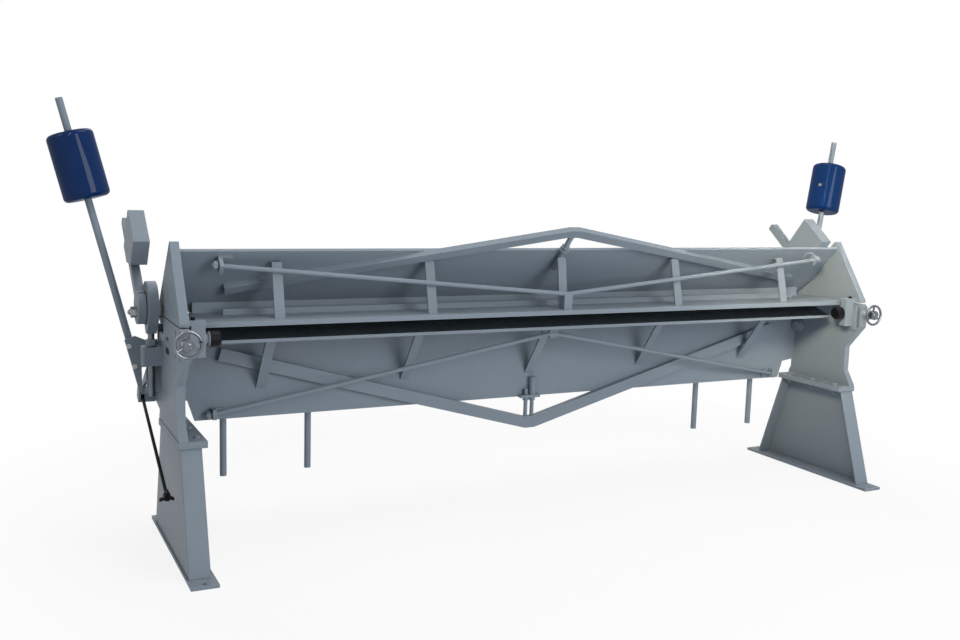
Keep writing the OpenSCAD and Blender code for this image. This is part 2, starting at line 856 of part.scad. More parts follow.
module clamp_block() {
    half = clamp_block_w / 2;
    low = clamp_axis_h - clamp_block_h / 2;
    bevel = 5;
    face = frame_out + SEAT;
    far = frame_out + clamp_block_w;
    collar_d = 2 * (bed_back_y - stud_y - OVER);
    difference() {
        union() {
            translate([0, 0, low]) linear_extrude(clamp_block_h)
                polygon([[face, stud_y - half], [far - bevel, stud_y - half], [far, stud_y - half + bevel],
                    [far, stud_y + half - bevel], [far - bevel, stud_y + half], [face, stud_y + half]]);
            round_x(frame_in - SEAT - OVER, face + OVER, stud_y, clamp_axis_h, trunnion_d);
            round_x(frame_in - SEAT - 14, frame_in - SEAT, stud_y, clamp_axis_h, collar_d);
            round_x(frame_in - SEAT - 30, frame_in - SEAT - 13, stud_y, clamp_axis_h, trunnion_d * 1.2);
        }
        box([strap_mid - stem_d / 2 - 1, stud_y - slot_rear, low - OVER],
            [strap_mid + stem_d / 2 + 1, stud_y + slot_front, clamp_block_top + OVER]);
    }
}

module left_clamp_block() {
    color(PAINT) left_side() clamp_block();
}

module right_clamp_block() {
    color(PAINT) clamp_block();
}

// Setback: slide blocks in the frames' windows, pivot pins, screws and handwheels

cheek_t = 12;
cheek_past = 8;

module slide_block() {
    y0 = -pivot_y - block_len / 2;
    y1 = -pivot_y + block_len / 2;
    difference() {
        union() {
            box([frame_in - SEAT - OVER, y0, window_low_h + SEAT], [frame_out, y1, window_high_h - SEAT]);
            box([frame_in - SEAT - cheek_t, y0, window_low_h - cheek_past],
                [frame_in - SEAT, y1, window_high_h + cheek_past]);
        }
        round_x(frame_in - cheek_t - OVER, frame_out + OVER, -pivot_y, pivot_h, pin_d + 2 * run_fit);
        round_y(screw_x, y0 - OVER, -pivot_y - pin_d / 2 - 2, pivot_h, screw_d + 2 * run_fit);
    }
}

module slide_blocks() {
    color(PAINT) both_sides() slide_block();
}

lug_out = frame_in - SEAT - cheek_t - SIDE_GAP;
lug_in = lug_out - lug_w;
knob_collar = 10;
knob_h = 54;

module pivot_pins() {
    color(STEEL) both_sides()
        round_x(lug_in - knob_collar - knob_h / 2, frame_out, -pivot_y, pivot_h, pin_d);
}

screw_tip_y = -pivot_y - pin_d / 2 - 14;
wheel_hub_len = 26;

module setback_screw() {
    round_y(screw_x, boss_end_y - SEAT - wheel_hub_len, screw_tip_y, pivot_h, screw_d);
}

module left_setback_screw() {
    color(STEEL) left_side() setback_screw();
}

module right_setback_screw() {
    color(STEEL) setback_screw();
}

// A dished wheel: a round rim, three spokes and a hub on the screw's end
module handwheel() {
    rim_r = (wheel_d - rim_d) / 2;
    wheel_hub_d = screw_d * 2.7;
    dish = 8;
    translate([screw_x, boss_end_y - SEAT, pivot_h]) rotate([90, 0, 0]) difference() {
        union() {
            translate([0, 0, wheel_hub_len - dish]) rotate_extrude() translate([rim_r, 0]) circle(d = rim_d);
            cylinder(h = wheel_hub_len, d = wheel_hub_d);
            for (i = [0 : 2]) {
                rotate([0, 0, 90 + i * 120])
                    rod_between([wheel_hub_d / 3, 0, wheel_hub_len / 2],
                        [rim_r, 0, wheel_hub_len - dish], rim_d * 0.8);
            }
        }
        translate([0, 0, -OVER]) cylinder(h = wheel_hub_len + 2 * OVER, d = screw_d + 2 * run_fit);
    }
}

module left_handwheel() {
    color(CHROME) left_side() handwheel();
}

module right_handwheel() {
    color(CHROME) handwheel();
}

// Clamping leaf

// The right-hand edge of the bottom plate, from its rear corner forward
leaf_edge = [
    [leaf_rear_half, leaf_rear_y],
    [leaf_rear_half, leaf_rear_y + 30],
    [end_in, leaf_rear_y + 30],
    [end_in, bend_y - nose_d],
    [nose_half, bend_y - nose_d],
    [nose_half, bend_y]
];

// The bottom plate, bevelled along its nose to the slope of the front plate
module leaf_bottom_plate() {
    last = len(leaf_edge) - 1;
    color(PAINT) intersection() {
        translate([0, 0, leaf_h]) linear_extrude(leaf_t) polygon([
            for (p = leaf_edge) p,
            for (i = [last : -1 : 0]) [-leaf_edge[i].x, leaf_edge[i].y]
        ]);
        extrude_x(-end_in - OVER, end_in + OVER)
            polygon([[leaf_rear_y - OVER, leaf_h - OVER], [nose_y + OVER / tan(slope_a), leaf_h - OVER],
                [nose_y - (leaf_t + OVER) / tan(slope_a), plate_h + OVER], [leaf_rear_y - OVER, plate_h + OVER]]);
    }
}

// The sloping front plate, its lower corners cut clear of the apron's hinges
module leaf_front_plate() {
    cut_w = end_in - nose_half;
    cut_l = 110;
    foot = slope_t / tan(slope_a);
    color(PAINT) intersection() {
        on_slope() translate([0, -foot, -slope_t]) linear_extrude(slope_t)
            polygon([[-nose_half, 0], [nose_half, 0], [nose_half + cut_w / 3, foot + cut_l / 4],
                [end_in, foot + cut_l], [end_in, foot + slope_len], [-end_in, foot + slope_len],
                [-end_in, foot + cut_l], [-nose_half - cut_w / 3, foot + cut_l / 4]]);
        box([-end_in - OVER, -bend_h, plate_h], [end_in + OVER, bend_y + OVER, 2 * bend_h]);
    }
}

nose_bar_front_y = slope_y - nose_bar_h / tan(slope_a);

module leaf_nose_bar() {
    color(PAINT) box([-nose_half, nose_bar_front_y - nose_bar_t, plate_h],
        [nose_half, nose_bar_front_y, plate_h + nose_bar_h]);
}

module leaf_low_bar() {
    low_bar_t = 15;
    low_y = nose_bar_front_y - nose_bar_t - low_bar_back;
    color(PAINT) box([-low_bar_half, low_y - low_bar_t, plate_h], [low_bar_half, low_y, plate_h + low_bar_h]);
}

// A flat strut: up from the bottom plate, bent over at its top to the front plate
module leaf_strut_outline(up) {
    foot_y = leaf_rear_y + 54;
    knee = slope_point(0, up, 18);
    tip_y = slope_y - (knee.z - plate_h) / tan(slope_a);
    polygon([[foot_y, plate_h], [foot_y + strut_t, plate_h], [knee.y + strut_t, knee.z - strut_t],
        [tip_y + strut_t / tan(slope_a), knee.z - strut_t], [tip_y, knee.z], [knee.y, knee.z]]);
}

module leaf_prop_outline() {
    foot_y = leaf_rear_y + 54;
    top = leaf_sleeve_up + leaf_sleeve_len;
    high = slope_point(0, top, leaf_bow_t);
    low = slope_point(0, top - 2 * strut_t, leaf_bow_t);
    polygon([[foot_y, plate_h], [foot_y + strut_t, plate_h], [low.y, low.z], [high.y, high.z]]);
}
module leaf_struts() {
    color(PAINT) {
        for (x = [-strut_outer_x, -strut_inner_x, strut_inner_x, strut_outer_x]) {
            extrude_x(x - strut_w / 2, x + strut_w / 2) leaf_strut_outline(leaf_rod_end);
        }
        extrude_x(-strut_w / 2, strut_w / 2) leaf_prop_outline();
    }
}

module leaf_bow() {
    color(PAINT) on_slope() linear_extrude(leaf_bow_t)
        bow_outline(leaf_bow_half, leaf_bow_end, leaf_bow_mid, leaf_bow_w);
}

// The leaf's truss rod runs between two brackets on the front plate and a saddle
function leaf_rod_end_at(s) = slope_point(s * leaf_rod_half, leaf_rod_end, leaf_rod_out);
function leaf_rod_mid() = [0, bend_y - leaf_rod_mid_y, bend_h + leaf_rod_mid_h];

module leaf_rod_shape(tail, d) {
    bent_rod(leaf_rod_mid(), leaf_rod_end_at(1), tail, d);
}

module leaf_truss_rod() {
    color(PAINT) leaf_rod_shape(rod_tail, rod_d);
}

module leaf_rod_bracket(s) {
    low = leaf_rod_end - bracket_size / 2;
    high = leaf_rod_end + bracket_size / 2;
    plate_x = s * leaf_rod_half;
    foot_x = s * (leaf_rod_half - bracket_foot);
    on_slope() union() {
        box([plate_x - bracket_len / 2, low, 0],
            [plate_x + bracket_len / 2, high, leaf_rod_out + bracket_size / 2]);
        box([min(plate_x, foot_x), low, 0], [max(plate_x, foot_x), high, bracket_foot_t]);
    }
}

module leaf_rod_saddle() {
    mid = leaf_rod_mid();
    box([-strut_w / 2, mid.y - 7, plate_h], [strut_w / 2, mid.y + 7, mid.z + rod_d / 4]);
}

module leaf_rod_brackets() {
    color(PAINT) difference() {
        union() {
            leaf_rod_bracket(-1);
            leaf_rod_bracket(1);
            leaf_rod_saddle();
        }
        leaf_rod_shape(2 * rod_tail, rod_d + 2 * run_fit);
    }
}

// The nuts of the leaf's truss rod and of the lever studs
module leaf_nuts() {
    color(STEEL) {
        for (s = [-1, 1]) {
            truss_nut(leaf_rod_end_at(s), leaf_rod_mid());
        }
        both_sides() difference() {
            hex_x(lever_out + SEAT, lever_out + stud_d * 0.85, stud_y, stud_h, stud_d * 1.5);
            round_x(lever_out - OVER, lever_out + stud_d, stud_y, stud_h, stud_d + 2 * run_fit);
        }
    }
}

// The jack that pushes the leaf's bow up: a sleeve on the plate, a stud and a collar
leaf_sleeve_up = slope_len - 100;
leaf_sleeve_len = 78;

module leaf_jack() {
    flat = 24;
    rise = (leaf_bow_mid - leaf_bow_end) / (leaf_bow_half - flat);
    bow_low = leaf_bow_mid - leaf_bow_w / 2 / cos(atan(rise));
    color(PAINT) on_slope() translate([0, leaf_sleeve_up, leaf_bow_t / 2]) rotate([-90, 0, 0]) {
        cylinder(h = leaf_sleeve_len, d = leaf_bow_t);
        cylinder(h = bow_low - leaf_sleeve_up, d = jack_d);
        translate([0, 0, slope_len - leaf_sleeve_up]) cylinder(h = 14, d = leaf_bow_t + 8);
    }
}

// Side view of an end plate: a tall triangle with an ear round the lever's stud
module end_plate_outline() {
    top_h = end_low_h + end_h;
    top_w = 8;
    polygon([[-end_rear_y, end_low_h], [stud_y, end_low_h], [stud_y + ear_r * 0.9, stud_h + ear_r * 0.44],
        [-end_top_y + top_w, top_h], [-end_top_y, top_h],
        [-end_rear_y, end_low_h + CORNER]]);
    translate([stud_y, stud_h]) circle(r = ear_r);
}

module leaf_end() {
    difference() {
        extrude_x(end_in, end_out) end_plate_outline();
        round_x(end_in - OVER, end_out + OVER, stud_y, stud_h, stud_d + 2 * run_fit);
    }
}

module left_leaf_end() {
    color(PAINT) left_side() leaf_end();
}

module right_leaf_end() {
    color(PAINT) leaf_end();
}

// A lug that hangs from an end plate and turns on the pivot pin
module pivot_lug() {
    low_h = pivot_h - 62;
    high_h = end_low_h + 18;
    y0 = -pivot_y - lug_t / 2;
    y1 = -pivot_y + lug_t / 2;
    difference() {
        union() {
            box([lug_in, y0, low_h], [lug_out, y1, high_h]);
            box([lug_out - OVER, y0, end_low_h], [end_in, y1, high_h]);
        }
        round_x(lug_in - OVER, lug_out + OVER, -pivot_y, pivot_h, pin_d + 2 * run_fit);
    }
}

module pivot_lugs() {
    color(PAINT) both_sides() pivot_lug();
}

// A round knob with a collar, turned on the pin's end
module lock_knob() {
    x1 = lug_in - SEAT;
    r = knob_d / 2;
    difference() {
        translate([x1, -pivot_y, pivot_h]) rotate([0, -90, 0]) rotate_extrude()
            polygon([[0, 0], [r * 0.62, 0], [r * 0.62, knob_collar], [r * 0.84, knob_collar], [r, knob_collar + 8],
                [r, knob_h - 8], [r * 0.8, knob_h], [0, knob_h]]);
        round_x(lug_in - knob_collar - knob_h / 2 - SIDE_GAP, x1 + OVER, -pivot_y, pivot_h, pin_d + 2 * run_fit);
    }
}

module left_lock_knob() {
    color(BLACK) left_side() lock_knob();
}

module right_lock_knob() {
    color(BLACK) lock_knob();
}

// Clamp levers, straps and their stems

// A stud through the end plate, with a collar that spaces the eccentric
module lever_studs() {
    color(STEEL) both_sides() {
        round_x(end_in, lever_out + stud_d, stud_y, stud_h, stud_d);
        round_x(end_out, collar_out, stud_y, stud_h, stud_d * 2);
    }
}

// Moves to a lever's own frame: origin at its stud, X along the bar
module on_lever() {
    translate([stud_y, stud_h]) rotate(lever_a) children();
}

// The eccentric disc, the round hub outside it and the lever's flat bar
module clamp_lever() {
    tip = 8;
    difference() {
        union() {
            round_x(ecc_in, lever_in + OVER, stud_y, ecc_h, ecc_d);
            extrude_x(lever_in, lever_out) {
                translate([stud_y, ecc_h - tip]) circle(d = hub_d);
                on_lever() polygon([[0, lever_off], [lever_reach, lever_off],
                    [lever_reach, lever_off + lever_w - tip], [lever_reach - tip, lever_off + lever_w],
                    [0, lever_off + lever_w]]);
            }
        }
        round_x(ecc_in - OVER, lever_out + OVER, stud_y, stud_h, stud_d + 2 * run_fit);
    }
}

module left_clamp_lever() {
    color(PAINT) left_side() clamp_lever();
}

module right_clamp_lever() {
    color(PAINT) clamp_lever();
}

// A steel block on the lever's upper edge, its rear lower corner cut away
module lever_weight() {
    mid = (lever_in + lever_out) / 2;
    seat = lever_off + lever_w;
    x1 = lever_weight_at + lever_weight_l;
    extrude_x(mid - lever_weight_w / 2, mid + lever_weight_w / 2) on_lever()
        polygon([[lever_weight_at + lever_weight_l / 2, seat], [x1, seat], [x1, lever_weight_top],
            [lever_weight_at, lever_weight_top], [lever_weight_at, lever_weight_top - lever_weight_h]]);
}

module left_lever_weight() {
    color(PAINT) left_side() lever_weight();
}

module right_lever_weight() {
    color(PAINT) lever_weight();
}

// A strap round the eccentric, with a neck that the stem hangs from
neck_h = ecc_h - strap_r - 17;

module strap() {
    difference() {
        extrude_x(strap_in, strap_in + strap_x) {
            translate([stud_y, ecc_h]) circle(r = strap_r);
            polygon([[stud_y - stem_d * 1.6, ecc_h - strap_r * 0.86], [stud_y - stem_d * 0.7, neck_h],
                [stud_y + stem_d * 0.7, neck_h], [stud_y + stem_d * 1.6, ecc_h - strap_r * 0.86]]);
        }
        round_x(strap_in - OVER, strap_in + strap_x + OVER, stud_y, ecc_h, ecc_d + 2 * run_fit);
    }
}

module left_strap() {
    color(PAINT) left_side() strap();
}

module right_strap() {
    color(PAINT) strap();
}

// The threaded stem and its nut above the clamp block
module strap_stem() {
    nut_low = clamp_block_top + 3;
    round_z(strap_mid, stud_y, stem_low_h, neck_h, stem_d);
    hex_z(strap_mid, stud_y, nut_low, nut_low + stem_d * 0.95, stem_d * 1.55);
}

module left_strap_stem() {
    color(DARK_STEEL) left_side() strap_stem();
}

module right_strap_stem() {
    color(DARK_STEEL) strap_stem();
}

// Apron

// The right-hand edge of the apron plate, from its top down
apron_edge = [
    [eye_out, apron_top_h],
    [eye_out, bend_h - eye_clear],
    [frame_out + 4, bend_h - eye_clear],
    [frame_out + 4, bend_h - 94],
    [apron_half, bend_h - 94],
    [apron_half, apron_low_h]
];

// The plate with a hinge eye near each end
module apron_plate() {
    last = len(apron_edge) - 1;
    color(PAINT) difference() {
        extrude_y(apron_y, apron_front_y) polygon([
            for (p = apron_edge) p,
            for (i = [last : -1 : 0]) [-apron_edge[i].x, apron_edge[i].y]
        ]);
        both_sides() round_x(eye_in - OVER, eye_out + OVER, bend_y, bend_h, hinge_d + 2 * run_fit);
    }
}
// A hinge eye, welded to the upper corner of the apron plate
module apron_eye() {
    foot_h = bend_h - 70;
    difference() {
        extrude_x(eye_in, eye_out) {
            translate([bend_y, bend_h]) circle(r = hinge_r);
            polygon([[apron_front_y, bend_h], [bend_y + hinge_r, bend_h], [apron_front_y + 8, foot_h],
                [apron_front_y, foot_h]]);
        }
        box([eye_in - OVER, apron_y - SEAT, foot_h - OVER], [eye_out + OVER, apron_front_y, apron_top_h]);
        round_x(eye_in - OVER, eye_out + OVER, bend_y, bend_h, hinge_d + 2 * run_fit);
    }
}

// The bending bar along the apron's top edge
module apron_edge_bar() {
    reach = eye_in - SIDE_GAP;
    color(STEEL) box([-reach, apron_front_y, apron_top_h - 40], [reach, apron_front_y + 32, apron_top_h]);
}

// Two flat ribs along the apron's front, bored for the handles
module apron_ribs() {
    color(PAINT) for (z = [apron_low_h, upper_rib_h]) {
        difference() {
            box([-rib_half, apron_front_y, z], [rib_half, apron_front_y + rib_d, z + rib_t]);
            for (x = [handle_inner_x, handle_outer_x], s = [-1, 1]) {
                round_z(s * x, bend_y + handle_y, z - OVER, z + rib_t + OVER, handle_d + 2 * run_fit);
            }
        }
    }
}

module apron_handles() {
    color(PAINT) for (x = [handle_inner_x, handle_outer_x], s = [-1, 1]) {
        round_z(s * x, bend_y + handle_y, handle_low_h, upper_rib_h + rib_t + 4, handle_d);
    }
}

// Moves to the leaning plane of the arms, then to an arm: Z runs up the arm
module on_lean() {
    translate([0, arm_y, arm_h]) rotate([-arm_lean, 0, 0]) children();
}

module on_arm() {
    on_lean() translate([arm_x, 0, 0]) rotate([0, arm_splay, 0]) children();
}

// The plate that an arm is bolted to, and the gusset that joins it to the apron
module apron_end_bracket() {
    in = frame_out + 12;
    edge = (arm_d / 2 + 5) / cos(arm_splay);
    low = bracket_low;
    slope = tan(arm_splay);
    front = -arm_seat;
    on_lean() extrude_y(front - arm_plate_t, front)
        polygon([[in, low + 30], [arm_x + edge + low * slope - 30, low - 12], [arm_x + edge + low * slope, low],
            [arm_x + edge + bracket_top * slope, bracket_top], [arm_x - edge + bracket_top * slope, bracket_top + 14],
            [in, bracket_top - 16]]);
    difference() {
        on_lean() box([in, front - arm_plate_t - 60, -30], [in + 12, front - OVER, bracket_top - 20]);
        box([in - OVER, 0, 0], [in + 13, apron_front_y, bend_h]);
    }
}

// The lug on the left bracket that the stop rod hooks into
module hook_lug() {
    x0 = rod_x + stop_d / 2 + 1;
    difference() {
        extrude_x(x0, x0 + 13) {
            translate(hook) circle(r = 13);
            polygon([[hook.x - 8, hook.y + 10], [hook.x + 13, hook.y], [hook.x + 9, hook.y + 22],
                [arm_y - 16, arm_h + 12], [arm_y - 18, arm_h - 34]]);
        }
        round_x(x0 - OVER, x0 + 14, hook.x, hook.y, stop_d + 2 * run_fit);
    }
}

// The slot in the left bracket that the stop rod swings through
module stop_rod_slot() {
    half = stop_d / 2 + 3;
    on_lean() box([rod_x - half, -arm_seat - arm_plate_t - OVER, bracket_low - 20],
        [rod_x + half, -arm_seat + OVER, 16]);
}

module apron_end_brackets() {
    color(PAINT) {
        both_sides() apron_eye();
        apron_end_bracket();
        union() {
            difference() {
                left_side() apron_end_bracket();
                stop_rod_slot();
            }
            hook_lug();
        }
    }
}

// Round arms, flattened where they lie on their brackets
module counterweight_arm() {
    on_arm() difference() {
        cylinder(h = arm_len, d = arm_d);
        box([-arm_d, -arm_d, -OVER], [arm_d, -arm_seat, bracket_top + 40]);
    }
}

module counterweight_arms() {
    color(PAINT) both_sides() counterweight_arm();
}

// A round weight with rounded edges, bored for its arm
module counterweight() {
    edge = 18;
    r = weight_d / 2;
    bore = arm_d / 2 + run_fit;
    on_arm() translate([0, 0, arm_len - weight_top - weight_l]) rotate_extrude() {
        translate([bore, 0]) square([r - bore - edge, weight_l]);
        translate([bore, edge]) square([r - bore, weight_l - 2 * edge]);
        for (z = [edge, weight_l - edge]) {
            translate([r - edge, z]) circle(r = edge);
        }
    }
}

module left_counterweight() {
    color(BLUE) left_side() counterweight();
}

module right_counterweight() {
    color(BLUE) counterweight();
}

// Angle stop

// The rod: a straight bar from its hook, and the hook's leg into the bracket's lug
module stop_rod() {
    color(BLACK) union() {
        rod_between([rod_x, hook.x, hook.y], [rod_x, stop_end.x, stop_end.y], stop_d);
        translate([rod_x, hook.x, hook.y]) sphere(d = stop_d);
        round_x(rod_x, rod_x + 24, hook.x, hook.y, stop_d);
    }
}

// Moves to the swivel's own frame: origin on its axis, X along the rod
module on_swivel() {
    translate(swivel) rotate(180 + stop_a) children();
}

// A square bar on a stud, slotted for the rod
module stop_swivel() {
    slot_w = stop_d + 1;
    color(PAINT) difference() {
        union() {
            extrude_x(rod_x - 15, -frame_out - SEAT) on_swivel() square(swivel_w, center = true);
            round_x(-frame_out - OVER, -frame_in + OVER, swivel.x, swivel.y, swivel_stud_d);
        }
        extrude_x(rod_x - slot_w / 2, rod_x + slot_w / 2) on_swivel()
            square([2 * swivel_w, swivel_slot], center = true);
    }
}

// A three-lobed clamp knob near the rod's lower end
module stop_knob() {
    core_r = 13;
    thick = 20;
    wing = 25;
    wing_w = 8;
    color(BLACK) translate([rod_x, stop_end.x, stop_end.y]) rotate([stop_a + 90, 0, 0])
        translate([0, 0, -thick - 8]) difference() {
            union() {
                cylinder(h = thick, r = core_r);
                for (i = [0 : 2]) {
                    rotate([0, 0, 90 + i * 120]) {
                        translate([0, -wing_w / 2, thick / 4]) cube([wing, wing_w, thick / 2]);
                        translate([wing, 0, thick / 4]) cylinder(h = thick / 2, d = wing_w);
                    }
                }
            }
            translate([0, 0, -OVER]) cylinder(h = thick + 2 * OVER, d = stop_d + 2 * run_fit);
        }
}

base_plates();
left_pedestal();
right_pedestal();
left_end_frame();
right_end_frame();
foot_bolts();
bed_top_plate();
bed_front_plate();
bed_struts();
bed_bow();
bed_truss_rod();
bed_rod_brackets();
bed_truss_nuts();
bed_jack();
bed_jack_studs();
apron_hinge_brackets();
apron_hinge_pins();
left_clamp_block();
right_clamp_block();
slide_blocks();
pivot_pins();
left_handwheel();
right_handwheel();
left_setback_screw();
right_setback_screw();
leaf_bottom_plate();
leaf_front_plate();
leaf_nose_bar();
leaf_low_bar();
leaf_struts();
leaf_bow();
leaf_truss_rod();
leaf_rod_brackets();
leaf_nuts();
leaf_jack();
left_leaf_end();
right_leaf_end();
pivot_lugs();
lever_studs();
left_lock_knob();
right_lock_knob();
left_clamp_lever();
right_clamp_lever();
left_lever_weight();
right_lever_weight();
left_strap();
right_strap();
left_strap_stem();
right_strap_stem();
apron_plate();
apron_edge_bar();
apron_ribs();
apron_handles();
apron_end_brackets();
counterweight_arms();
left_counterweight();
right_counterweight();
stop_rod();
stop_swivel();
stop_knob();
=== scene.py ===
# %% [markdown]
# This is a hand folding machine for sheet metal, seen from its rear left. A hinged leaf clamps
# the sheet on a long bed, and a counterweighted apron at the front swings up and bends it. The
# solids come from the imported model, so this lesson dresses them: a camera solved from the
# photograph, soft light, paint and bare metal made of nodes, and the small fittings that the
# solids leave out.

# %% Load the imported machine
import json
import math

import bmesh
import bpy
import numpy as np
from mathutils import Matrix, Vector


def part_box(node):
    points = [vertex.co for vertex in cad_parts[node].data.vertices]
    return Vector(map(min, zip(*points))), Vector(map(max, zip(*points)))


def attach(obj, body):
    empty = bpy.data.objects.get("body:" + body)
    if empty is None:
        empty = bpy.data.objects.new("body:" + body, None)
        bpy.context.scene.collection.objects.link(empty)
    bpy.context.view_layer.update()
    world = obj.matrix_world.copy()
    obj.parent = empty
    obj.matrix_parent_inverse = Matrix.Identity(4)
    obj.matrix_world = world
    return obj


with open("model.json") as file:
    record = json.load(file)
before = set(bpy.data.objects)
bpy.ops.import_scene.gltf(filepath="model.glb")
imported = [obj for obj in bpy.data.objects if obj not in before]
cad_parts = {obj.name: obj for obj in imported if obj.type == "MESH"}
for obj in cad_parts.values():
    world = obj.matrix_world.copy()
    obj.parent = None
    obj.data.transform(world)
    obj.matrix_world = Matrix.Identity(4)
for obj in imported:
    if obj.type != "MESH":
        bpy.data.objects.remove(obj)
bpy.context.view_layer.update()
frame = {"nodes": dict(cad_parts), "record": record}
scene = bpy.context.scene
scene.view_settings.view_transform = "Standard"

# %% [markdown]
# The photograph gives the camera: the two ends of the machine mirror each other, so their sizes
# in the picture fix the lens, the turn and the distance. A constraint could aim the camera at a
# point, but it would hide the roll, so the three axes are worked out from yaw, pitch and roll.

# %% Camera
CAM_PLACE = (-2.2353, -3.7687, 1.3853)
CAM_YAW, CAM_PITCH, CAM_ROLL = (math.radians(a) for a in (26.68, 7.57, 1.64))
CAM_LENS, CAM_SENSOR = 38.41, 36.0


def camera_axes(yaw, pitch, roll):
    """Right, up and backward unit vectors: forward turns yaw from +Y and dips by pitch, then
    right and up turn by roll about it."""
    level = math.cos(pitch)
    forward = np.array([math.sin(yaw) * level, math.cos(yaw) * level, -math.sin(pitch)])
    right = np.array([math.cos(yaw), -math.sin(yaw), 0.0])
    rolled = math.cos(roll) * right + math.sin(roll) * np.cross(right, forward)
    return rolled, np.cross(rolled, forward), -forward


def set_up(name, data, axes, place):
    """Puts a camera or a lamp into the scene, with its right, up and backward axes."""
    holder = bpy.data.objects.new(name, data)
    scene.collection.objects.link(holder)
    pose = np.eye(4)
    pose[:3, :3] = np.array(axes).T
    pose[:3, 3] = place
    holder.matrix_world = Matrix(pose)
    return holder


lens = bpy.data.cameras.new("photo_camera")
lens.lens, lens.sensor_width = CAM_LENS, CAM_SENSOR
lens.sensor_fit = "HORIZONTAL"
scene.camera = set_up("photo_camera", lens, camera_axes(CAM_YAW, CAM_PITCH, CAM_ROLL), CAM_PLACE)
print("camera at", CAM_PLACE)

# %% [markdown]
# A socket of a shader node takes a number, a colour or the output of another node. A few helpers
# hide the difference, so that the node trees below can be read like formulas.

# %% Helpers for node trees


def feed(tree, socket, value):
    """Gives a socket a number, an RGB colour or the output of another node."""
    if isinstance(value, (int, float)):
        socket.default_value = value
    elif isinstance(value, tuple):
        socket.default_value = (*value, 1)
    else:
        tree.links.new(value, socket)


def math_node(tree, operation, first, second, clamp=False):
    """first (operation) second, where each is an output or a number."""
    node = tree.nodes.new("ShaderNodeMath")
    node.operation, node.use_clamp = operation, clamp
    feed(tree, node.inputs[0], first)
    feed(tree, node.inputs[1], second)
    return node.outputs[0]


def span_node(tree, value, low, high, out_low=0.0, out_high=1.0):
    """Maps value from low..high to out_low..out_high, and holds it there beyond them."""
    node = tree.nodes.new("ShaderNodeMapRange")
    tree.links.new(value, node.inputs["Value"])
    ends = {"From Min": low, "From Max": high, "To Min": out_low, "To Max": out_high}
    for label, number in ends.items():
        feed(tree, node.inputs[label], number)
    return node.outputs["Result"]


print("helpers", [helper.__name__ for helper in (feed, math_node, span_node)])

# %% [markdown]
# The machine stands on a pale floor in a white surround. More light would make the surround
# white, but it would also bleach the paint. So the world and the floor have two faces: a white
# one for the camera and for rays that metal mirrors, and a plain one that lights the machine at
# a level at which a colour renders about as it is written.

# %% White surround
WHITE = (1.0, 1.0, 1.0)
WORLD_LIGHT, WORLD_SEEN = 0.26, 1.0


def white_where_seen(tree, plain, white, strength, surface):
    """Mixes a plain shader with a white one. The white counts with strength for a ray from the
    camera or one that a mirroring or clear surface sends on, and not at all for other light."""
    path = tree.nodes.new("ShaderNodeLightPath")
    seen = path.outputs["Is Camera Ray"]
    for flag in ("Is Glossy Ray", "Is Transmission Ray"):
        seen = math_node(tree, "MAXIMUM", seen, path.outputs[flag])
    mix = tree.nodes.new("ShaderNodeMixShader")
    tree.links.new(math_node(tree, "MULTIPLY", seen, strength), mix.inputs[0])
    tree.links.new(plain.outputs[0], mix.inputs[1])
    tree.links.new(white.outputs[0], mix.inputs[2])
    tree.links.new(mix.outputs[0], surface)


world = bpy.data.worlds.new("studio")
scene.world = world
world.use_nodes = True
tree = world.node_tree
lit, seen = tree.nodes["Background"], tree.nodes.new("ShaderNodeBackground")
for node, strength in ((lit, WORLD_LIGHT), (seen, WORLD_SEEN)):
    feed(tree, node.inputs["Color"], WHITE)
    feed(tree, node.inputs["Strength"], strength)
white_where_seen(tree, lit, seen, 1.0, tree.nodes["World Output"].inputs["Surface"])
print("world light", WORLD_LIGHT)

# %% [markdown]
# The floor could be a plain object from Blender's menu. It is a grid of points instead, because
# every new surface in this lesson is made so: an array of points P(u, v) whose neighbours make
# quads.

# %% Floor
FLOOR_HALF, FLOOR_POINTS = 14.0, 5


def quads_of(index):
    """The corners of the quads between neighbours in a grid of point numbers."""
    corners = [index[:-1, :-1], index[1:, :-1], index[1:, 1:], index[:-1, 1:]]
    return np.stack(corners, axis=-1).reshape(-1, 4)


along = np.linspace(-FLOOR_HALF, FLOOR_HALF, FLOOR_POINTS)
floor_x, floor_y = np.meshgrid(along, along, indexing="ij")
points = np.stack([floor_x, floor_y, 0 * floor_x], axis=-1).reshape(-1, 3)
mesh = bpy.data.meshes.new("studio_floor")
mesh.from_pydata(points.tolist(), [], quads_of(np.arange(floor_x.size).reshape(floor_x.shape)).tolist())
floor = bpy.data.objects.new("studio_floor", mesh)
scene.collection.objects.link(floor)
print("floor", 2 * FLOOR_HALF, "m wide")

# %% [markdown]
# Near the machine the floor keeps part of its plain face, which carries the shadow. Further out
# it has to meet the white surround without a line. A gradient image could do that; the distance
# from the floor's middle, mapped to a strength, does it with two nodes.

# %% Floor's two faces
FLOOR_COLOUR, FLOOR_ROUGHNESS = (0.86, 0.86, 0.86), 0.9
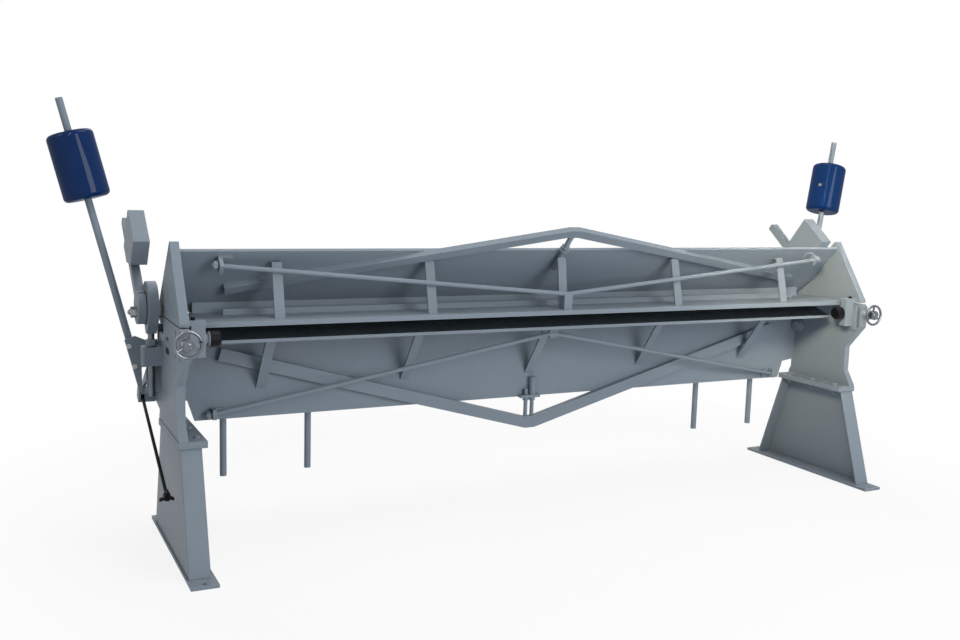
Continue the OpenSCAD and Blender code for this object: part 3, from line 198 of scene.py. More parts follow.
# how white the floor looks up to the near distance from its middle, and from the far one on
FADE_NEAR, FADE_FAR, WHITE_NEAR, WHITE_FAR = 1.7, 2.8, 0.86, 1.0
floor_paint = bpy.data.materials.new("studio_floor")
floor_paint.use_nodes = True
tree = floor_paint.node_tree
plain = tree.nodes["Principled BSDF"]
feed(tree, plain.inputs["Base Color"], FLOOR_COLOUR)
feed(tree, plain.inputs["Roughness"], FLOOR_ROUGHNESS)
feed(tree, plain.inputs["Specular IOR Level"], 0.0)
glow = tree.nodes.new("ShaderNodeEmission")
feed(tree, glow.inputs["Color"], WHITE)
where = tree.nodes.new("ShaderNodeTexCoord")
distance = tree.nodes.new("ShaderNodeVectorMath")
distance.operation = "LENGTH"
tree.links.new(where.outputs["Object"], distance.inputs[0])
fade = span_node(tree, distance.outputs["Value"], FADE_NEAR, FADE_FAR, WHITE_NEAR, WHITE_FAR)
white_where_seen(tree, plain, glow, fade, tree.nodes["Material Output"].inputs["Surface"])
floor.data.materials.append(floor_paint)
print("floor nodes", len(tree.nodes))

# %% [markdown]
# The photograph has soft light from behind the camera and from above, a long narrow highlight on
# the round weights, and a warmer glow on the right end. Area lamps give all of that: the large
# ones are soft, a narrow strip makes the highlight, and a small tinted one warms the right end
# without a mirror image of itself.

# %% Lamps


def soft_lamp(name, place, target, size, watts, tint=WHITE, spread=180):
    """An area lamp of a width and height at place, whose light falls towards target and spreads
    over an angle in degrees."""
    lamp = bpy.data.lights.new(name, "AREA")
    lamp.shape = "RECTANGLE"
    lamp.size, lamp.size_y = size
    lamp.energy, lamp.color, lamp.spread = watts, tint, math.radians(spread)
    back = np.array(place) - np.array(target)
    back /= np.linalg.norm(back)
    side = np.cross((0, 0, 1), back)
    side /= np.linalg.norm(side)
    return set_up(name, lamp, (side, np.cross(back, side), back), place)


soft_lamp("key_lamp", place=(1.6, -5.5, 2.2), target=(0, 0, 0.7), size=(3.0, 3.0), watts=180)
soft_lamp("strip_lamp", place=(-3.0, -5.2, 4.6), target=(0, 0, 1.0), size=(0.11, 3.4), watts=52)
soft_lamp("left_lamp", place=(-4.6, -0.8, 3.2), target=(-1.7, 0.1, 1.3), size=(1.4, 1.4), watts=1.5,
          spread=36)
soft_lamp("top_lamp", place=(0.6, -0.3, 5.2), target=(0.3, 0, 0.5), size=(3.2, 3.2), watts=108)
soft_lamp("front_lamp", place=(1.0, 5.0, 5.5), target=(0, 0, 0.6), size=(3.0, 3.0), watts=105)
warm_lamp = soft_lamp("warm_lamp", place=(-0.6, -1.8, 2.0), target=(1.68, 0.05, 1.08), size=(0.6, 0.6),
                      watts=7, tint=(1.0, 0.86, 0.62), spread=40)
warm_lamp.visible_glossy = False

# %% [markdown]
# Paint and metal have effects that several finishes share, such as worn edges with a painted
# highlight on them, dust or grain. Copies of the same nodes in every material would be hard to
# change, so each effect is a node group, built once and placed in each finish with its own values.

# %% Helpers for node groups
FLOAT, COLOUR = "NodeSocketFloat", "NodeSocketColor"
GROUP_OUTPUTS = {"Color": COLOUR, "Roughness": FLOAT, "Height": FLOAT}
NOISE_ROUGHNESS = 0.55


def new_group(name, inputs):
    """A shader node group with the given inputs, numbers or RGB colours with their defaults, and
    with GROUP_OUTPUTS. Returns its tree, its inputs and its outputs."""
    tree = bpy.data.node_groups.new(name, "ShaderNodeTree")
    for label, value in inputs.items():
        kind = COLOUR if isinstance(value, tuple) else FLOAT
        feed(tree, tree.interface.new_socket(label, in_out="INPUT", socket_type=kind), value)
    for label, kind in GROUP_OUTPUTS.items():
        tree.interface.new_socket(label, in_out="OUTPUT", socket_type=kind)
    return tree, tree.nodes.new("NodeGroupInput").outputs, tree.nodes.new("NodeGroupOutput").inputs


def noise(tree, coords, scale, detail):
    """The value of a noise texture on the given coordinates."""
    node = tree.nodes.new("ShaderNodeTexNoise")
    values = {"Vector": coords, "Scale": scale, "Detail": detail, "Roughness": NOISE_ROUGHNESS}
    for label, value in values.items():
        feed(tree, node.inputs[label], value)
    return node.outputs["Fac"]


def mix_colour(tree, factor, first, second):
    """A colour between first and second by factor; each is an output or an RGB colour."""
    node = tree.nodes.new("ShaderNodeMix")
    node.data_type = "RGBA"
    sockets = [s for s in node.inputs if s.enabled]
    for socket, value in zip(sockets, (factor, first, second)):
        feed(tree, socket, value)
    return [s for s in node.outputs if s.enabled][0]


print("outputs of a group", list(GROUP_OUTPUTS))

# %% [markdown]
# Most of the machine wears one coat of slate enamel. Up close it has a fine orange peel, a faint
# change of tone from plate to plate, a paler line along the edges, which is partly wear where they
# were handled and partly a painted highlight, and a little dust on what lies flat. A painted
# texture would need a UV map for every plate. So noise on Object coordinates gives the tones, a
# Bevel node finds the edges, and the normal finds the flats.

# %% Enamel: noise, edges and dust
TONE_SCALE, SPECK_SCALE, PEEL_SCALE = 2.3, 46.0, 420.0
EDGE_REACH, BEVEL_SAMPLES = 0.0035, 4
coat, coat_in, coat_out = new_group("enamel_coat", {
    "Paint": (0.4, 0.45, 0.5), "WornLitEdge": (0.6, 0.62, 0.64), "EdgeWearAndLight": 0.3, "Mottle": 0.06, "Dust": 0.1,
    "Matt": 0.4})
coords = coat.nodes.new("ShaderNodeTexCoord")
tones = noise(coat, coords.outputs["Object"], TONE_SCALE, detail=4.0)
specks = noise(coat, coords.outputs["Object"], SPECK_SCALE, detail=4.0)
peel = noise(coat, coords.outputs["Object"], PEEL_SCALE, detail=1.0)
# an edge is where the rounded normal leaves the normal of the face
rounded = coat.nodes.new("ShaderNodeBevel")
rounded.samples = BEVEL_SAMPLES
feed(coat, rounded.inputs["Radius"], EDGE_REACH)
face = coat.nodes.new("ShaderNodeNewGeometry")
leaning = coat.nodes.new("ShaderNodeVectorMath")
leaning.operation = "DOT_PRODUCT"
coat.links.new(rounded.outputs["Normal"], leaning.inputs[0])
coat.links.new(face.outputs["Normal"], leaning.inputs[1])
# the pale colour on the edges is partly wear and partly a painted highlight
corner = span_node(coat, leaning.outputs["Value"], 0.99, 0.80)
rubbed_lit_edge = math_node(coat, "MULTIPLY", corner, span_node(coat, specks, 0.38, 0.62, 0.25, 1.0))
worn_lit_edge = math_node(coat, "MULTIPLY", rubbed_lit_edge, coat_in["EdgeWearAndLight"], clamp=True)
# dust lies on what faces upwards
facing = coat.nodes.new("ShaderNodeSeparateXYZ")
coat.links.new(coords.outputs["Normal"], facing.inputs[0])
settled = math_node(coat, "MULTIPLY", span_node(coat, facing.outputs["Z"], 0.5, 0.95), coat_in["Dust"])
dusty = math_node(coat, "MULTIPLY", settled, span_node(coat, specks, 0.35, 0.7, 0.4, 1.0))
print("enamel nodes for noise, edges and dust", len(coat.nodes))

# %% [markdown]
# Tones, dust and the pale edges, part wear and part painted highlight, are masks now, and the coat
# is made from them. Each could be a shader of its own, laid over the last. One set of colour,
# roughness and height is lighter to render, and the shader itself stays in the material.

# %% Enamel: colour, roughness and relief
DUST_COLOUR = (0.62, 0.62, 0.60)
DUST_MATT, PEEL_SHARE, SPECK_SHARE = 0.5, 0.6, 0.4
# the paint grows lighter or darker by up to Mottle, because noise lies about 0.5
swing = math_node(coat, "MULTIPLY", math_node(coat, "SUBTRACT", tones, 0.5), coat_in["Mottle"])
lift = math_node(coat, "ADD", 1.0, math_node(coat, "MULTIPLY", swing, 2.0))
shade = coat.nodes.new("ShaderNodeVectorMath")
shade.operation = "SCALE"
coat.links.new(coat_in["Paint"], shade.inputs[0])
coat.links.new(lift, shade.inputs["Scale"])
dusted = mix_colour(coat, dusty, shade.outputs[0], DUST_COLOUR)
# the edges take the pale colour: worn paint and a painted highlight
coat.links.new(mix_colour(coat, worn_lit_edge, dusted, coat_in["WornLitEdge"]), coat_out["Color"])
matt = math_node(coat, "ADD", math_node(coat, "MULTIPLY", dusty, DUST_MATT),
                 span_node(coat, specks, 0.3, 0.7, -0.04, 0.05))
coat.links.new(math_node(coat, "ADD", coat_in["Matt"], matt), coat_out["Roughness"])
relief = math_node(coat, "ADD", math_node(coat, "MULTIPLY", peel, PEEL_SHARE),
                   math_node(coat, "MULTIPLY", specks, SPECK_SHARE))
coat.links.new(relief, coat_out["Height"])
print("enamel nodes in all", len(coat.nodes))

# %% [markdown]
# The bed's top, the bolts and the wheels are bare or plated metal. Real steel has fine lines from
# the rolls and cloudy stains of oil. An image would blur up close, so a noise stretched along the
# machine gives the lines, and a broad one gives the stains.

# %% Bare metal
LINE_STRETCH, LINE_SCALE, STAIN_SCALE = (0.06, 1.0, 1.0), 900.0, 14.0
STAIN_MATT = 0.3
metal, metal_in, metal_out = new_group("bare_metal", {
    "Metal": (0.6, 0.6, 0.6), "Stain": (0.2, 0.17, 0.13), "Staining": 0.2, "Matt": 0.3, "Grain": 0.08})
coords = metal.nodes.new("ShaderNodeTexCoord")
stretch = metal.nodes.new("ShaderNodeMapping")
stretch.inputs["Scale"].default_value = LINE_STRETCH
metal.links.new(coords.outputs["Object"], stretch.inputs["Vector"])
lines = noise(metal, stretch.outputs["Vector"], LINE_SCALE, detail=2.0)
clouds = noise(metal, coords.outputs["Object"], STAIN_SCALE, detail=5.0)
stained = math_node(metal, "MULTIPLY", span_node(metal, clouds, 0.45, 0.75), metal_in["Staining"])
metal.links.new(mix_colour(metal, stained, metal_in["Metal"], metal_in["Stain"]), metal_out["Color"])
streaks = math_node(metal, "MULTIPLY", math_node(metal, "SUBTRACT", lines, 0.5), metal_in["Grain"])
matt = math_node(metal, "ADD", math_node(metal, "MULTIPLY", stained, STAIN_MATT), streaks)
metal.links.new(math_node(metal, "ADD", metal_in["Matt"], matt), metal_out["Roughness"])
metal.links.new(lines, metal_out["Height"])
print("metal nodes", len(metal.nodes))

# %% [markdown]
# Each finish is a Principled shader fed by one of the groups. What is the same all over the
# surface, such as the metal flag or the clear coat, is set on the shader's own socket. The solids
# keep sharp edges, so a Bevel node rounds them for the light alone.

# %% A finish
CUT_ROUNDING, CAST_ROUNDING = 0.0008, 0.006
RELIEF_DEPTH, CLEAR_ROUGHNESS = 0.0004, 0.03


def finish(name, group, values, metallic, bump, clear=0.0, specular=0.5, rounding=CUT_ROUNDING):
    """A material: the group gives colour, roughness and height, and a Bump node over a rounded
    normal makes the relief and the soft edges."""
    material = bpy.data.materials.new(name)
    material.use_nodes = True
    tree = material.node_tree
    shader = tree.nodes["Principled BSDF"]
    unit = tree.nodes.new("ShaderNodeGroup")
    unit.node_tree = group
    for label, value in values.items():
        feed(tree, unit.inputs[label], value)
    soft = tree.nodes.new("ShaderNodeBevel")
    soft.samples = BEVEL_SAMPLES
    feed(tree, soft.inputs["Radius"], rounding)
    relief = tree.nodes.new("ShaderNodeBump")
    relief_values = {"Strength": bump, "Distance": RELIEF_DEPTH, "Height": unit.outputs["Height"],
                     "Normal": soft.outputs["Normal"]}
    for label, value in relief_values.items():
        feed(tree, relief.inputs[label], value)
    shader_values = {"Base Color": unit.outputs["Color"], "Roughness": unit.outputs["Roughness"],
                     "Metallic": metallic, "Specular IOR Level": specular, "Coat Weight": clear,
                     "Coat Roughness": CLEAR_ROUGHNESS, "Normal": relief.outputs["Normal"]}
    for label, value in shader_values.items():
        feed(tree, shader.inputs[label], value)
    return material


print("rounding of cut and cast edges", CUT_ROUNDING, CAST_ROUNDING)

# %% [markdown]
# The machine has few finishes: slate enamel on nearly everything, navy on the counterweights,
# black on knobs and as painted shade in seams, slots and holes, bright steel on the arms' bolts,
# oiled steel on the bed and the stems, and chrome on the handwheels. Each is a row of values for
# one of the groups rather than a tree of its own, so that two finishes can be compared at a glance.

# %% Finishes of the machine
SLATE = {"Paint": (0.188, 0.230, 0.275), "WornLitEdge": (0.36, 0.41, 0.45), "EdgeWearAndLight": 0.75, "Mottle": 0.10,
         "Dust": 0.10, "Matt": 0.44}
# folded sheet and cast weights have rounder edges than cut plate, and hardly a pale line of wear and
# painted highlight on them
SOFT_SLATE = {**SLATE, "EdgeWearAndLight": 0.15}
NAVY = {"Paint": (0.001, 0.020, 0.092), "WornLitEdge": (0.01, 0.06, 0.20), "EdgeWearAndLight": 0.25, "Mottle": 0.10,
        "Dust": 0.0, "Matt": 0.14}
BLACK = {"Paint": (0.004, 0.004, 0.005), "WornLitEdge": (0.02, 0.02, 0.02), "EdgeWearAndLight": 0.3, "Mottle": 0.2,
         "Dust": 0.0, "Matt": 0.40}
BRIGHT = {"Metal": (0.33, 0.34, 0.35), "Staining": 0.35, "Matt": 0.34, "Grain": 0.2}
DARK = {"Metal": (0.185, 0.215, 0.230), "Stain": (0.07, 0.08, 0.09), "Staining": 0.6, "Matt": 0.40,
        "Grain": 0.2}
CHROME = {"Metal": (0.18, 0.19, 0.21), "Stain": (0.08, 0.083, 0.09), "Staining": 0.5, "Matt": 0.16,
          "Grain": 0.03}
finishes = {
    "slate": finish("slate_enamel", coat, SLATE, metallic=0.0, bump=0.05, specular=0.14),
    "soft_slate": finish("slate_enamel_soft", coat, SOFT_SLATE, metallic=0.0, bump=0.05, specular=0.14,
                         rounding=CAST_ROUNDING),
    "navy": finish("navy_enamel", coat, NAVY, metallic=0.0, bump=0.01, clear=0.24, specular=0.0),
    "black": finish("black_enamel", coat, BLACK, metallic=0.0, bump=0.06, specular=0.12),
    "bright": finish("bright_steel", metal, BRIGHT, metallic=1.0, bump=0.10),
    "dark": finish("oiled_steel", metal, DARK, metallic=1.0, bump=0.10),
    "chrome": finish("chrome_plate", metal, CHROME, metallic=1.0, bump=0.02),
}
print("finishes", list(finishes))

# %% [markdown]
# Most solids of the machine wear one finish all over. The finishes could be given out by hand,
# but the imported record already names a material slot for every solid, so they follow the slots.
# Only the pedestals and the lever weights get the softer slate.

# %% Dress the solids
SLOT_FINISH = {"grey_paint": "slate", "bright_steel": "bright", "dark_steel": "dark", "chrome": "chrome",
               "blue_enamel": "navy", "black_plastic": "black", "black_steel": "black"}
SOFT_EDGED = ("left_pedestal", "right_pedestal", "left_lever_weight", "right_lever_weight")


def wear_finish(piece, name):
    """Gives every face of a piece one finish."""
    piece.data.materials.clear()
    piece.data.materials.append(finishes[name])


for part in frame["record"]["subparts"]:
    node, slot = part["node"], part["material_slot"]
    wear_finish(frame["nodes"][node], "soft_slate" if node in SOFT_EDGED else SLOT_FINISH[slot])

# %% [markdown]
# Some solids wear two finishes: the bed's top plate is bare above and painted elsewhere, and the
# stems are dark with painted nuts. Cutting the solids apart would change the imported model. So
# the mesh gets a second material slot, and the faces that wear it are picked by where they lie
# or which way they face.

# %% Second finishes
SIDES = (("left", -1), ("right", 1))
# the bed's upward faces stay bare, leaf nuts are bright beyond FRAME_X, and lock knobs are
# painted beyond KNOB_X
UPWARD, FRAME_X, KNOB_X = 0.5, 1.60, 1.4925
STEM_RADIUS, NUT_MARGIN = 0.012, 1.05


def middle_of(node):
    """The middle of a solid's box."""
    return np.mean(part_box(node), axis=0)


def repaint(node, name, chosen):
    """Gives another finish to the faces that chosen(middles, normals) picks. Both are arrays of
    three rows, x, y and z, with a column for each face."""
    mesh = frame["nodes"][node].data
    mesh.materials.append(finishes[name])
    middles = np.empty((len(mesh.polygons), 3), np.float32)
    normals = np.empty_like(middles)
    mesh.polygons.foreach_get("center", middles.ravel())
    mesh.polygons.foreach_get("normal", normals.ravel())
    picked = chosen(middles.T, normals.T)
    mesh.polygons.foreach_set("material_index", picked.astype(np.int32) * (len(mesh.materials) - 1))
    mesh.update()
    print(node, "has", int(picked.sum()), "of", len(picked), "faces in", name)


repaint("bed_top_plate", "slate", lambda middles, normals: normals[2] < UPWARD)
repaint("leaf_nuts", "bright", lambda middles, normals: np.abs(middles[0]) > FRAME_X)
for side_name, side in SIDES:
    stem_x, stem_y = middle_of(side_name + "_strap_stem")[:2]
    repaint(side_name + "_strap_stem", "slate", lambda middles, normals: np.hypot(
        middles[0] - stem_x, middles[1] - stem_y) > NUT_MARGIN * STEM_RADIUS)
    repaint(side_name + "_lock_knob", "slate", lambda middles, normals: np.abs(middles[0]) > KNOB_X)

# %% [markdown]
# Bolts, nuts, threads and weld beads are small, but a machine without them looks like a drawing.
# Each could be put together from Blender's cylinders. Here all of them are grids instead: a height
# runs along the rows, and an angle runs round the columns. One function puts several such grids
# into a mesh, closes the seam and merges the points at the poles.

# %% Grids that close round an axis
MERGE_WITHIN = 1e-6


def closed_piece(name, grids, body, finish_name, smooth=35):
    """One mesh from grids that close round their columns; poles are merged, normals turned
    outwards, and edges sharper than smooth degrees stay sharp."""
    points, quads, count = [], [], 0
    for grid in grids:
        rows, cols = grid.shape[:2]
        index = count + np.arange(rows * cols).reshape(rows, cols)
        quads.append(quads_of(np.hstack([index, index[:, :1]])))
        points.append(grid.reshape(-1, 3))
        count += rows * cols
    mesh = bpy.data.meshes.new(name)
    mesh.from_pydata(np.vstack(points).tolist(), [], np.vstack(quads).tolist())
    shape = bmesh.new()
    shape.from_mesh(mesh)
    bmesh.ops.remove_doubles(shape, verts=shape.verts, dist=MERGE_WITHIN)
    bmesh.ops.recalc_face_normals(shape, faces=shape.faces)
    shape.to_mesh(mesh)
    shape.free()
    mesh.validate()
    mesh.shade_smooth()
    mesh.set_sharp_from_angle(angle=math.radians(smooth))
    piece = bpy.data.objects.new(name, mesh)
    scene.collection.objects.link(piece)
    wear_finish(piece, finish_name)
    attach(piece, body)
    print(name, len(mesh.polygons), "faces")


print("points merge within", MERGE_WITHIN)

# %% [markdown]
# Most of the fittings are round about an axis. A Screw modifier could spin a profile, but it
# would have to be applied, and it makes no hexagon. So the rings are computed: each pair of
# radius and height is a ring, and a hexagon is a ring that is held back by six flats.

# %% Turned forms
ROUND, HEX_ROUND = 40, 48


def full_turn(sides):
    """The angles of a full turn, without the last, which is the first again."""
    return np.linspace(0, 2 * math.pi, sides, endpoint=False)


def rings(centre, axis, heights, radius):
    """P(i, a) = centre + heights[i] axis + radius[i, a] (cos a first + sin a second), where first
    and second are unit vectors square to the axis and to each other."""
    along = np.array(axis, float) / np.linalg.norm(axis)
    upright = abs(along[2]) > 0.9
    first = np.cross((1.0, 0.0, 0.0) if upright else (0.0, 0.0, 1.0), along)
    first /= np.linalg.norm(first)
    angle = full_turn(radius.shape[1])[:, None]
    ring = np.cos(angle) * first + np.sin(angle) * np.cross(along, first)
    return np.array(centre) + heights[:, None, None] * along + radius[:, :, None] * ring


def turned(centre, axis, profile, sides=ROUND, flats=0.0):
    """A turned form: each (r, h) of the profile is a ring of radius r at height h. On a hexagon,
    r is no more than flats / cos((a mod 60) - 30), which is its edge at the angle a."""
    radii, heights = np.array(profile, float).T
    radius = np.repeat(radii[:, None], sides, axis=1)
    if flats:
        edge = flats / np.cos(np.mod(full_turn(sides), math.pi / 3) - math.pi / 6)
        radius = np.minimum(radius, edge)
    return rings(centre, axis, heights, radius)


def cylinder(radius, low, high):
    """The profile of a plain cylinder between two heights."""
    return ((0, low), (radius, low), (radius, high), (0, high))


print("a plain round form has", turned((0, 0, 0), (0, 0, 1), cylinder(1, 0, 1)).shape, "points")

# %% [markdown]
# The counterweight arms lean outwards and forwards. Each is held in its bracket by two hexagon
# bolts with washers. They are worked out along the right arm's own axes, and the left ones are
# the mirror image, so that one set of sizes serves both.

# %% Bolts of the arms
ARM_FOOT = np.array([1.669, 0.2503, 0.640])
ARM_SPLAY, ARM_LEAN = math.radians(13.8), math.radians(5.8)
BOLTS_ALONG, BOLT_SHIFT, BRACKET_BACK = (0.022, 0.102), 0.009, 0.0225
WASHER_RADIUS, WASHER_THICK = 0.0105, 0.0015
HEAD_FLAT, HEAD_HIGH = 0.0085, 0.006
# shares of a head's height and half width at which its corners are cut away
CUT_FROM, CUT_TO = 0.74, 0.94
WASHER_EDGE = 0.3


def on_arm(side, along, behind, sideways=0.0):
    """A point at a distance along an arm from its foot, behind its axis and to one side."""
    out, upright = math.sin(ARM_SPLAY), math.cos(ARM_SPLAY)
    up = np.array([out, upright * math.sin(ARM_LEAN), upright * math.cos(ARM_LEAN)])
    back = np.array([0.0, -math.cos(ARM_LEAN), math.sin(ARM_LEAN)])
    point = ARM_FOOT + along * up + behind * back + sideways * np.cross(up, back)
    return point * (side, 1, 1)


def washer(centre, axis, radius, thick):
    """A flat washer with a broken upper edge."""
    broken = WASHER_EDGE * thick
    profile = ((0, 0), (radius, 0), (radius, thick - broken), (radius - broken, thick), (0, thick))
    return turned(centre, axis, profile)


def hex_head(centre, axis, flat, high):
    """A bolt head: a hexagon of half width flat, whose top corners a cone cuts away."""
    wide = 2 * flat
    profile = ((0, 0), (wide, 0), (wide, CUT_FROM * high), (CUT_TO * flat, high), (0, high))
    return turned(centre, axis, profile, HEX_ROUND, flat)


bolts = []
for side_name, side in SIDES:
    for along in BOLTS_ALONG:
        root = on_arm(side, along, BRACKET_BACK, BOLT_SHIFT)
        back = on_arm(side, along, 1.0) - on_arm(side, along, 0.0)
        bolts += [washer(root, back, WASHER_RADIUS, WASHER_THICK),
                  hex_head(root + WASHER_THICK * back, back, HEAD_FLAT, HEAD_HIGH)]
closed_piece("arm_bolts", bolts, "apron", "bright")

# %% [markdown]
# Each weight slides on its arm and is pinched there by a set screw with a socket, in a countersunk
# hole whose shade is painted as a black rim. A Boolean could cut the hole, but the imported solid
# is left as it is, so rim and screw start inside the weight and stand up to three millimetres out of it.

# %% Set screws of the weights
WEIGHT_RADIUS, WEIGHT_MIDDLE, SCREW_SUNK = 0.084, 0.796, 0.003
# how far each screw is turned round its arm, from facing backwards
SCREW_TURN = {"left": math.radians(156), "right": math.radians(66)}
SHADE_RIM_PROFILE = ((0.0075, 0.0020), (0.0105, 0.0045), (0.0125, 0.0036), (0.0120, 0), (0.0075, 0),
               (0.0075, 0.0020))
SCREW_PROFILE = ((0, 0), (0.0078, 0), (0.0078, 0.0048), (0.0068, 0.0058), (0.0040, 0.0058),
                 (0.0040, 0.0030), (0, 0.0030))
for side_name, side in SIDES:
    turn = SCREW_TURN[side_name]
    centre = on_arm(side, WEIGHT_MIDDLE, 0.0)
    out = on_arm(side, WEIGHT_MIDDLE, math.cos(turn), -math.sin(turn)) - centre
    root = centre + (WEIGHT_RADIUS - SCREW_SUNK) * out
    weight = side_name + "_weight"
    # the black rim is painted shade of the countersunk hole round the screw
    closed_piece(weight + "_shade_rim", [turned(root, out, SHADE_RIM_PROFILE)], weight, "black")
    closed_piece(weight + "_screw", [turned(root, out, SCREW_PROFILE)], weight, "bright")

# %% [markdown]
# The stems of the straps are screws: the nut on the block sets how hard the leaf clamps. The
# solids keep them plain, so a fine thread is wound round each here, in black: partly the stems'
# dark steel, partly painted shade of the dark gap they stand in below the blocks. A Screw
# modifier could wind it; a wave of the radius that shifts with the angle is the same helix, and
# it needs no other tool than the rings above.

# %% Threads of the stems
STEM_LOW, STEM_LENGTH = 0.5605, 0.238
THREAD_PROUD, STEM_PITCH, STEM_DEPTH = 0.0004, 0.003, 0.0012
THREAD_ROUND, ROWS_A_PITCH, FINE_SMOOTH = 20, 6, 60


def threaded(centre, axis, radius, pitch, depth, length):
    """A screw thread: the radius falls by depth times a triangle wave of height over pitch less
    angle over a full turn, so that the crests climb one pitch a turn. Both ends are closed."""
    heights = np.linspace(0, length, int(length / pitch * ROWS_A_PITCH))
    turns = full_turn(THREAD_ROUND) / (2 * math.pi)
    wave = np.abs(2 * np.mod(heights[:, None] / pitch - turns, 1.0) - 1)
    body = rings(centre, axis, heights, radius - depth * wave)
    ends = [np.repeat(row.mean(0)[None, None], THREAD_ROUND, axis=1) for row in (body[0], body[-1])]
    return np.concatenate([ends[0], body, ends[1]])


for side_name, side in SIDES:
    stem_x, stem_y = middle_of(side_name + "_strap_stem")[:2]
    thread = threaded((stem_x, stem_y, STEM_LOW), (0, 0, 1), STEM_RADIUS + THREAD_PROUD, STEM_PITCH,
                      STEM_DEPTH, STEM_LENGTH)
    # the black is dark steel and painted shade of the gap round the stem
    closed_piece(side_name + "_stem_thread", [thread], side_name + "_strap", "black", FINE_SMOOTH)

# %% [markdown]
# The screw jack in the middle of the leaf presses its bow outwards. Its screw is threaded, and a
# nut with a broad washer on the sleeve sets the pressure. They lie along the leaf's sloping
# plate, so a point is given by how far it is up that slope and out of it.

# %% Screw and nut of the leaf's jack
SLOPE = math.radians(47)
SLOPE_FOOT = np.array([0.0, 0.1598, 0.8742])
JACK_OUT, JACK_TOP, JACK_END = 0.012, 0.349, 0.4325
JACK_WASHER_RADIUS, JACK_WASHER_THICK = 0.0215, 0.004
JACK_NUT_FLAT, JACK_NUT_HIGH = 0.0165, 0.015
JACK_RADIUS, JACK_PITCH, JACK_DEPTH = 0.0118, 0.0035, 0.0014


def on_slope(up, out):
    """A point in the leaf's middle: up the slope from its foot and out of its rear face."""
    back = -up * math.cos(SLOPE) - out * math.sin(SLOPE)
    rise = up * math.sin(SLOPE) - out * math.cos(SLOPE)
    return SLOPE_FOOT + (0, back, rise)


jack_axis = on_slope(1.0, 0.0) - on_slope(0.0, 0.0)
jack_nut = JACK_TOP + JACK_WASHER_THICK
jack_screw = jack_nut + JACK_NUT_HIGH
nut_profile = cylinder(2 * JACK_NUT_FLAT, 0, JACK_NUT_HIGH)
jack_grids = [
    washer(on_slope(JACK_TOP, JACK_OUT), jack_axis, JACK_WASHER_RADIUS, JACK_WASHER_THICK),
    turned(on_slope(jack_nut, JACK_OUT), jack_axis, nut_profile, HEX_ROUND, JACK_NUT_FLAT),
    threaded(on_slope(jack_screw, JACK_OUT), jack_axis, JACK_RADIUS, JACK_PITCH, JACK_DEPTH,
             JACK_END - jack_screw)]
closed_piece("leaf_jack_screw", jack_grids, "leaf", "slate")

# %% [markdown]
# The clamp lever's hub stands off the eccentric, and the shaded gap between them shows as a dark
# seam. A notch runs across the hub above and below, where the bar of the lever is let in. A
# Boolean could cut them, but the imported solids are left as they are, so they are thin black forms
# that stand a little out of the hub: painted shade of the gap and of the notches.

# %% Seams and notches of the lever hubs, in painted shade
HUB_THICK, HUB_RISE, HUB_RADIUS, HUB_ROUND = 0.032, 0.017, 0.062, 72
SEAM_WIDE, SEAM_PROUD, SEAM_SUNK = 0.0040, 0.0005, 0.001
NOTCH_ANGLE, NOTCH_RADIUS, NOTCH_LONG, NOTCH_ROUND = math.radians(24), 0.0016, 0.022, 8
stud_y, stud_z = middle_of("lever_studs")[1:]
hub_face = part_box("right_clamp_lever")[1].x - HUB_THICK
inner, outer = HUB_RADIUS - SEAM_SUNK, HUB_RADIUS + SEAM_PROUD
SHADE_SEAM_PROFILE = ((inner, 0), (outer, 0), (outer, SEAM_WIDE), (inner, SEAM_WIDE), (inner, 0))
notch_y, notch_z = HUB_RADIUS * math.sin(NOTCH_ANGLE), HUB_RADIUS * math.cos(NOTCH_ANGLE)
for side_name, side in SIDES:
    outwards, hub_z = (side, 0, 0), stud_z + HUB_RISE
    # a black ring is the painted shade of the gap, and black rods the painted shade of the notches
    cuts = [turned((side * hub_face, stud_y, hub_z), outwards, SHADE_SEAM_PROFILE, HUB_ROUND)]
    for above in (-1, 1):
        place = (side * (hub_face + SEAM_WIDE), stud_y - notch_y, hub_z + above * notch_z)
        cuts.append(turned(place, outwards, cylinder(NOTCH_RADIUS, 0, NOTCH_LONG), NOTCH_ROUND))
    closed_piece(side_name + "_hub_shade_seam", cuts, side_name + "_lever", "black")

# %% [markdown]
# The stud that the lever turns on ends in a small domed cap, and a black screw stands on each
# pivot lug. A squashed sphere could be the cap, but a profile gives its straight foot as well.
# The boxes of the studs and the lugs give the places.

# %% Caps of the studs and screws of the lugs
CAP_PROFILE = ((0, 0), (0.0085, 0), (0.0085, 0.0035), (0.0065, 0.0060), (0.0030, 0.0072), (0, 0.0074))
LUG_PROFILE = ((0, 0), (0.0080, 0), (0.0080, 0.0084), (0.0064, 0.0105), (0, 0.0105))
LUG_INSET, LUG_SUNK = 0.020, 0.0002
stud_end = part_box("lever_studs")[1].x
lug_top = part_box("pivot_lugs")[1]
lug_y = middle_of("pivot_lugs")[1]
for side_name, side in SIDES:
    cap = turned((side * stud_end, stud_y, stud_z), (side, 0, 0), CAP_PROFILE)
    closed_piece(side_name + "_stud_cap", [cap], "leaf", "chrome")
    screw = turned((side * (lug_top.x - LUG_INSET), lug_y, lug_top.z - LUG_SUNK), (0, 0, 1), LUG_PROFILE)
    closed_piece(side_name + "_lug_screw", [screw], "leaf", "black")

# %% [markdown]
# The leaf's low bar is held by short stitches of weld along its back. A bump map could hint at
# them, but a bead stands out and catches light. It is round and rippled, so each is a turned form
# about an axis along the bar, whose radius swells and dies away like an ellipse.

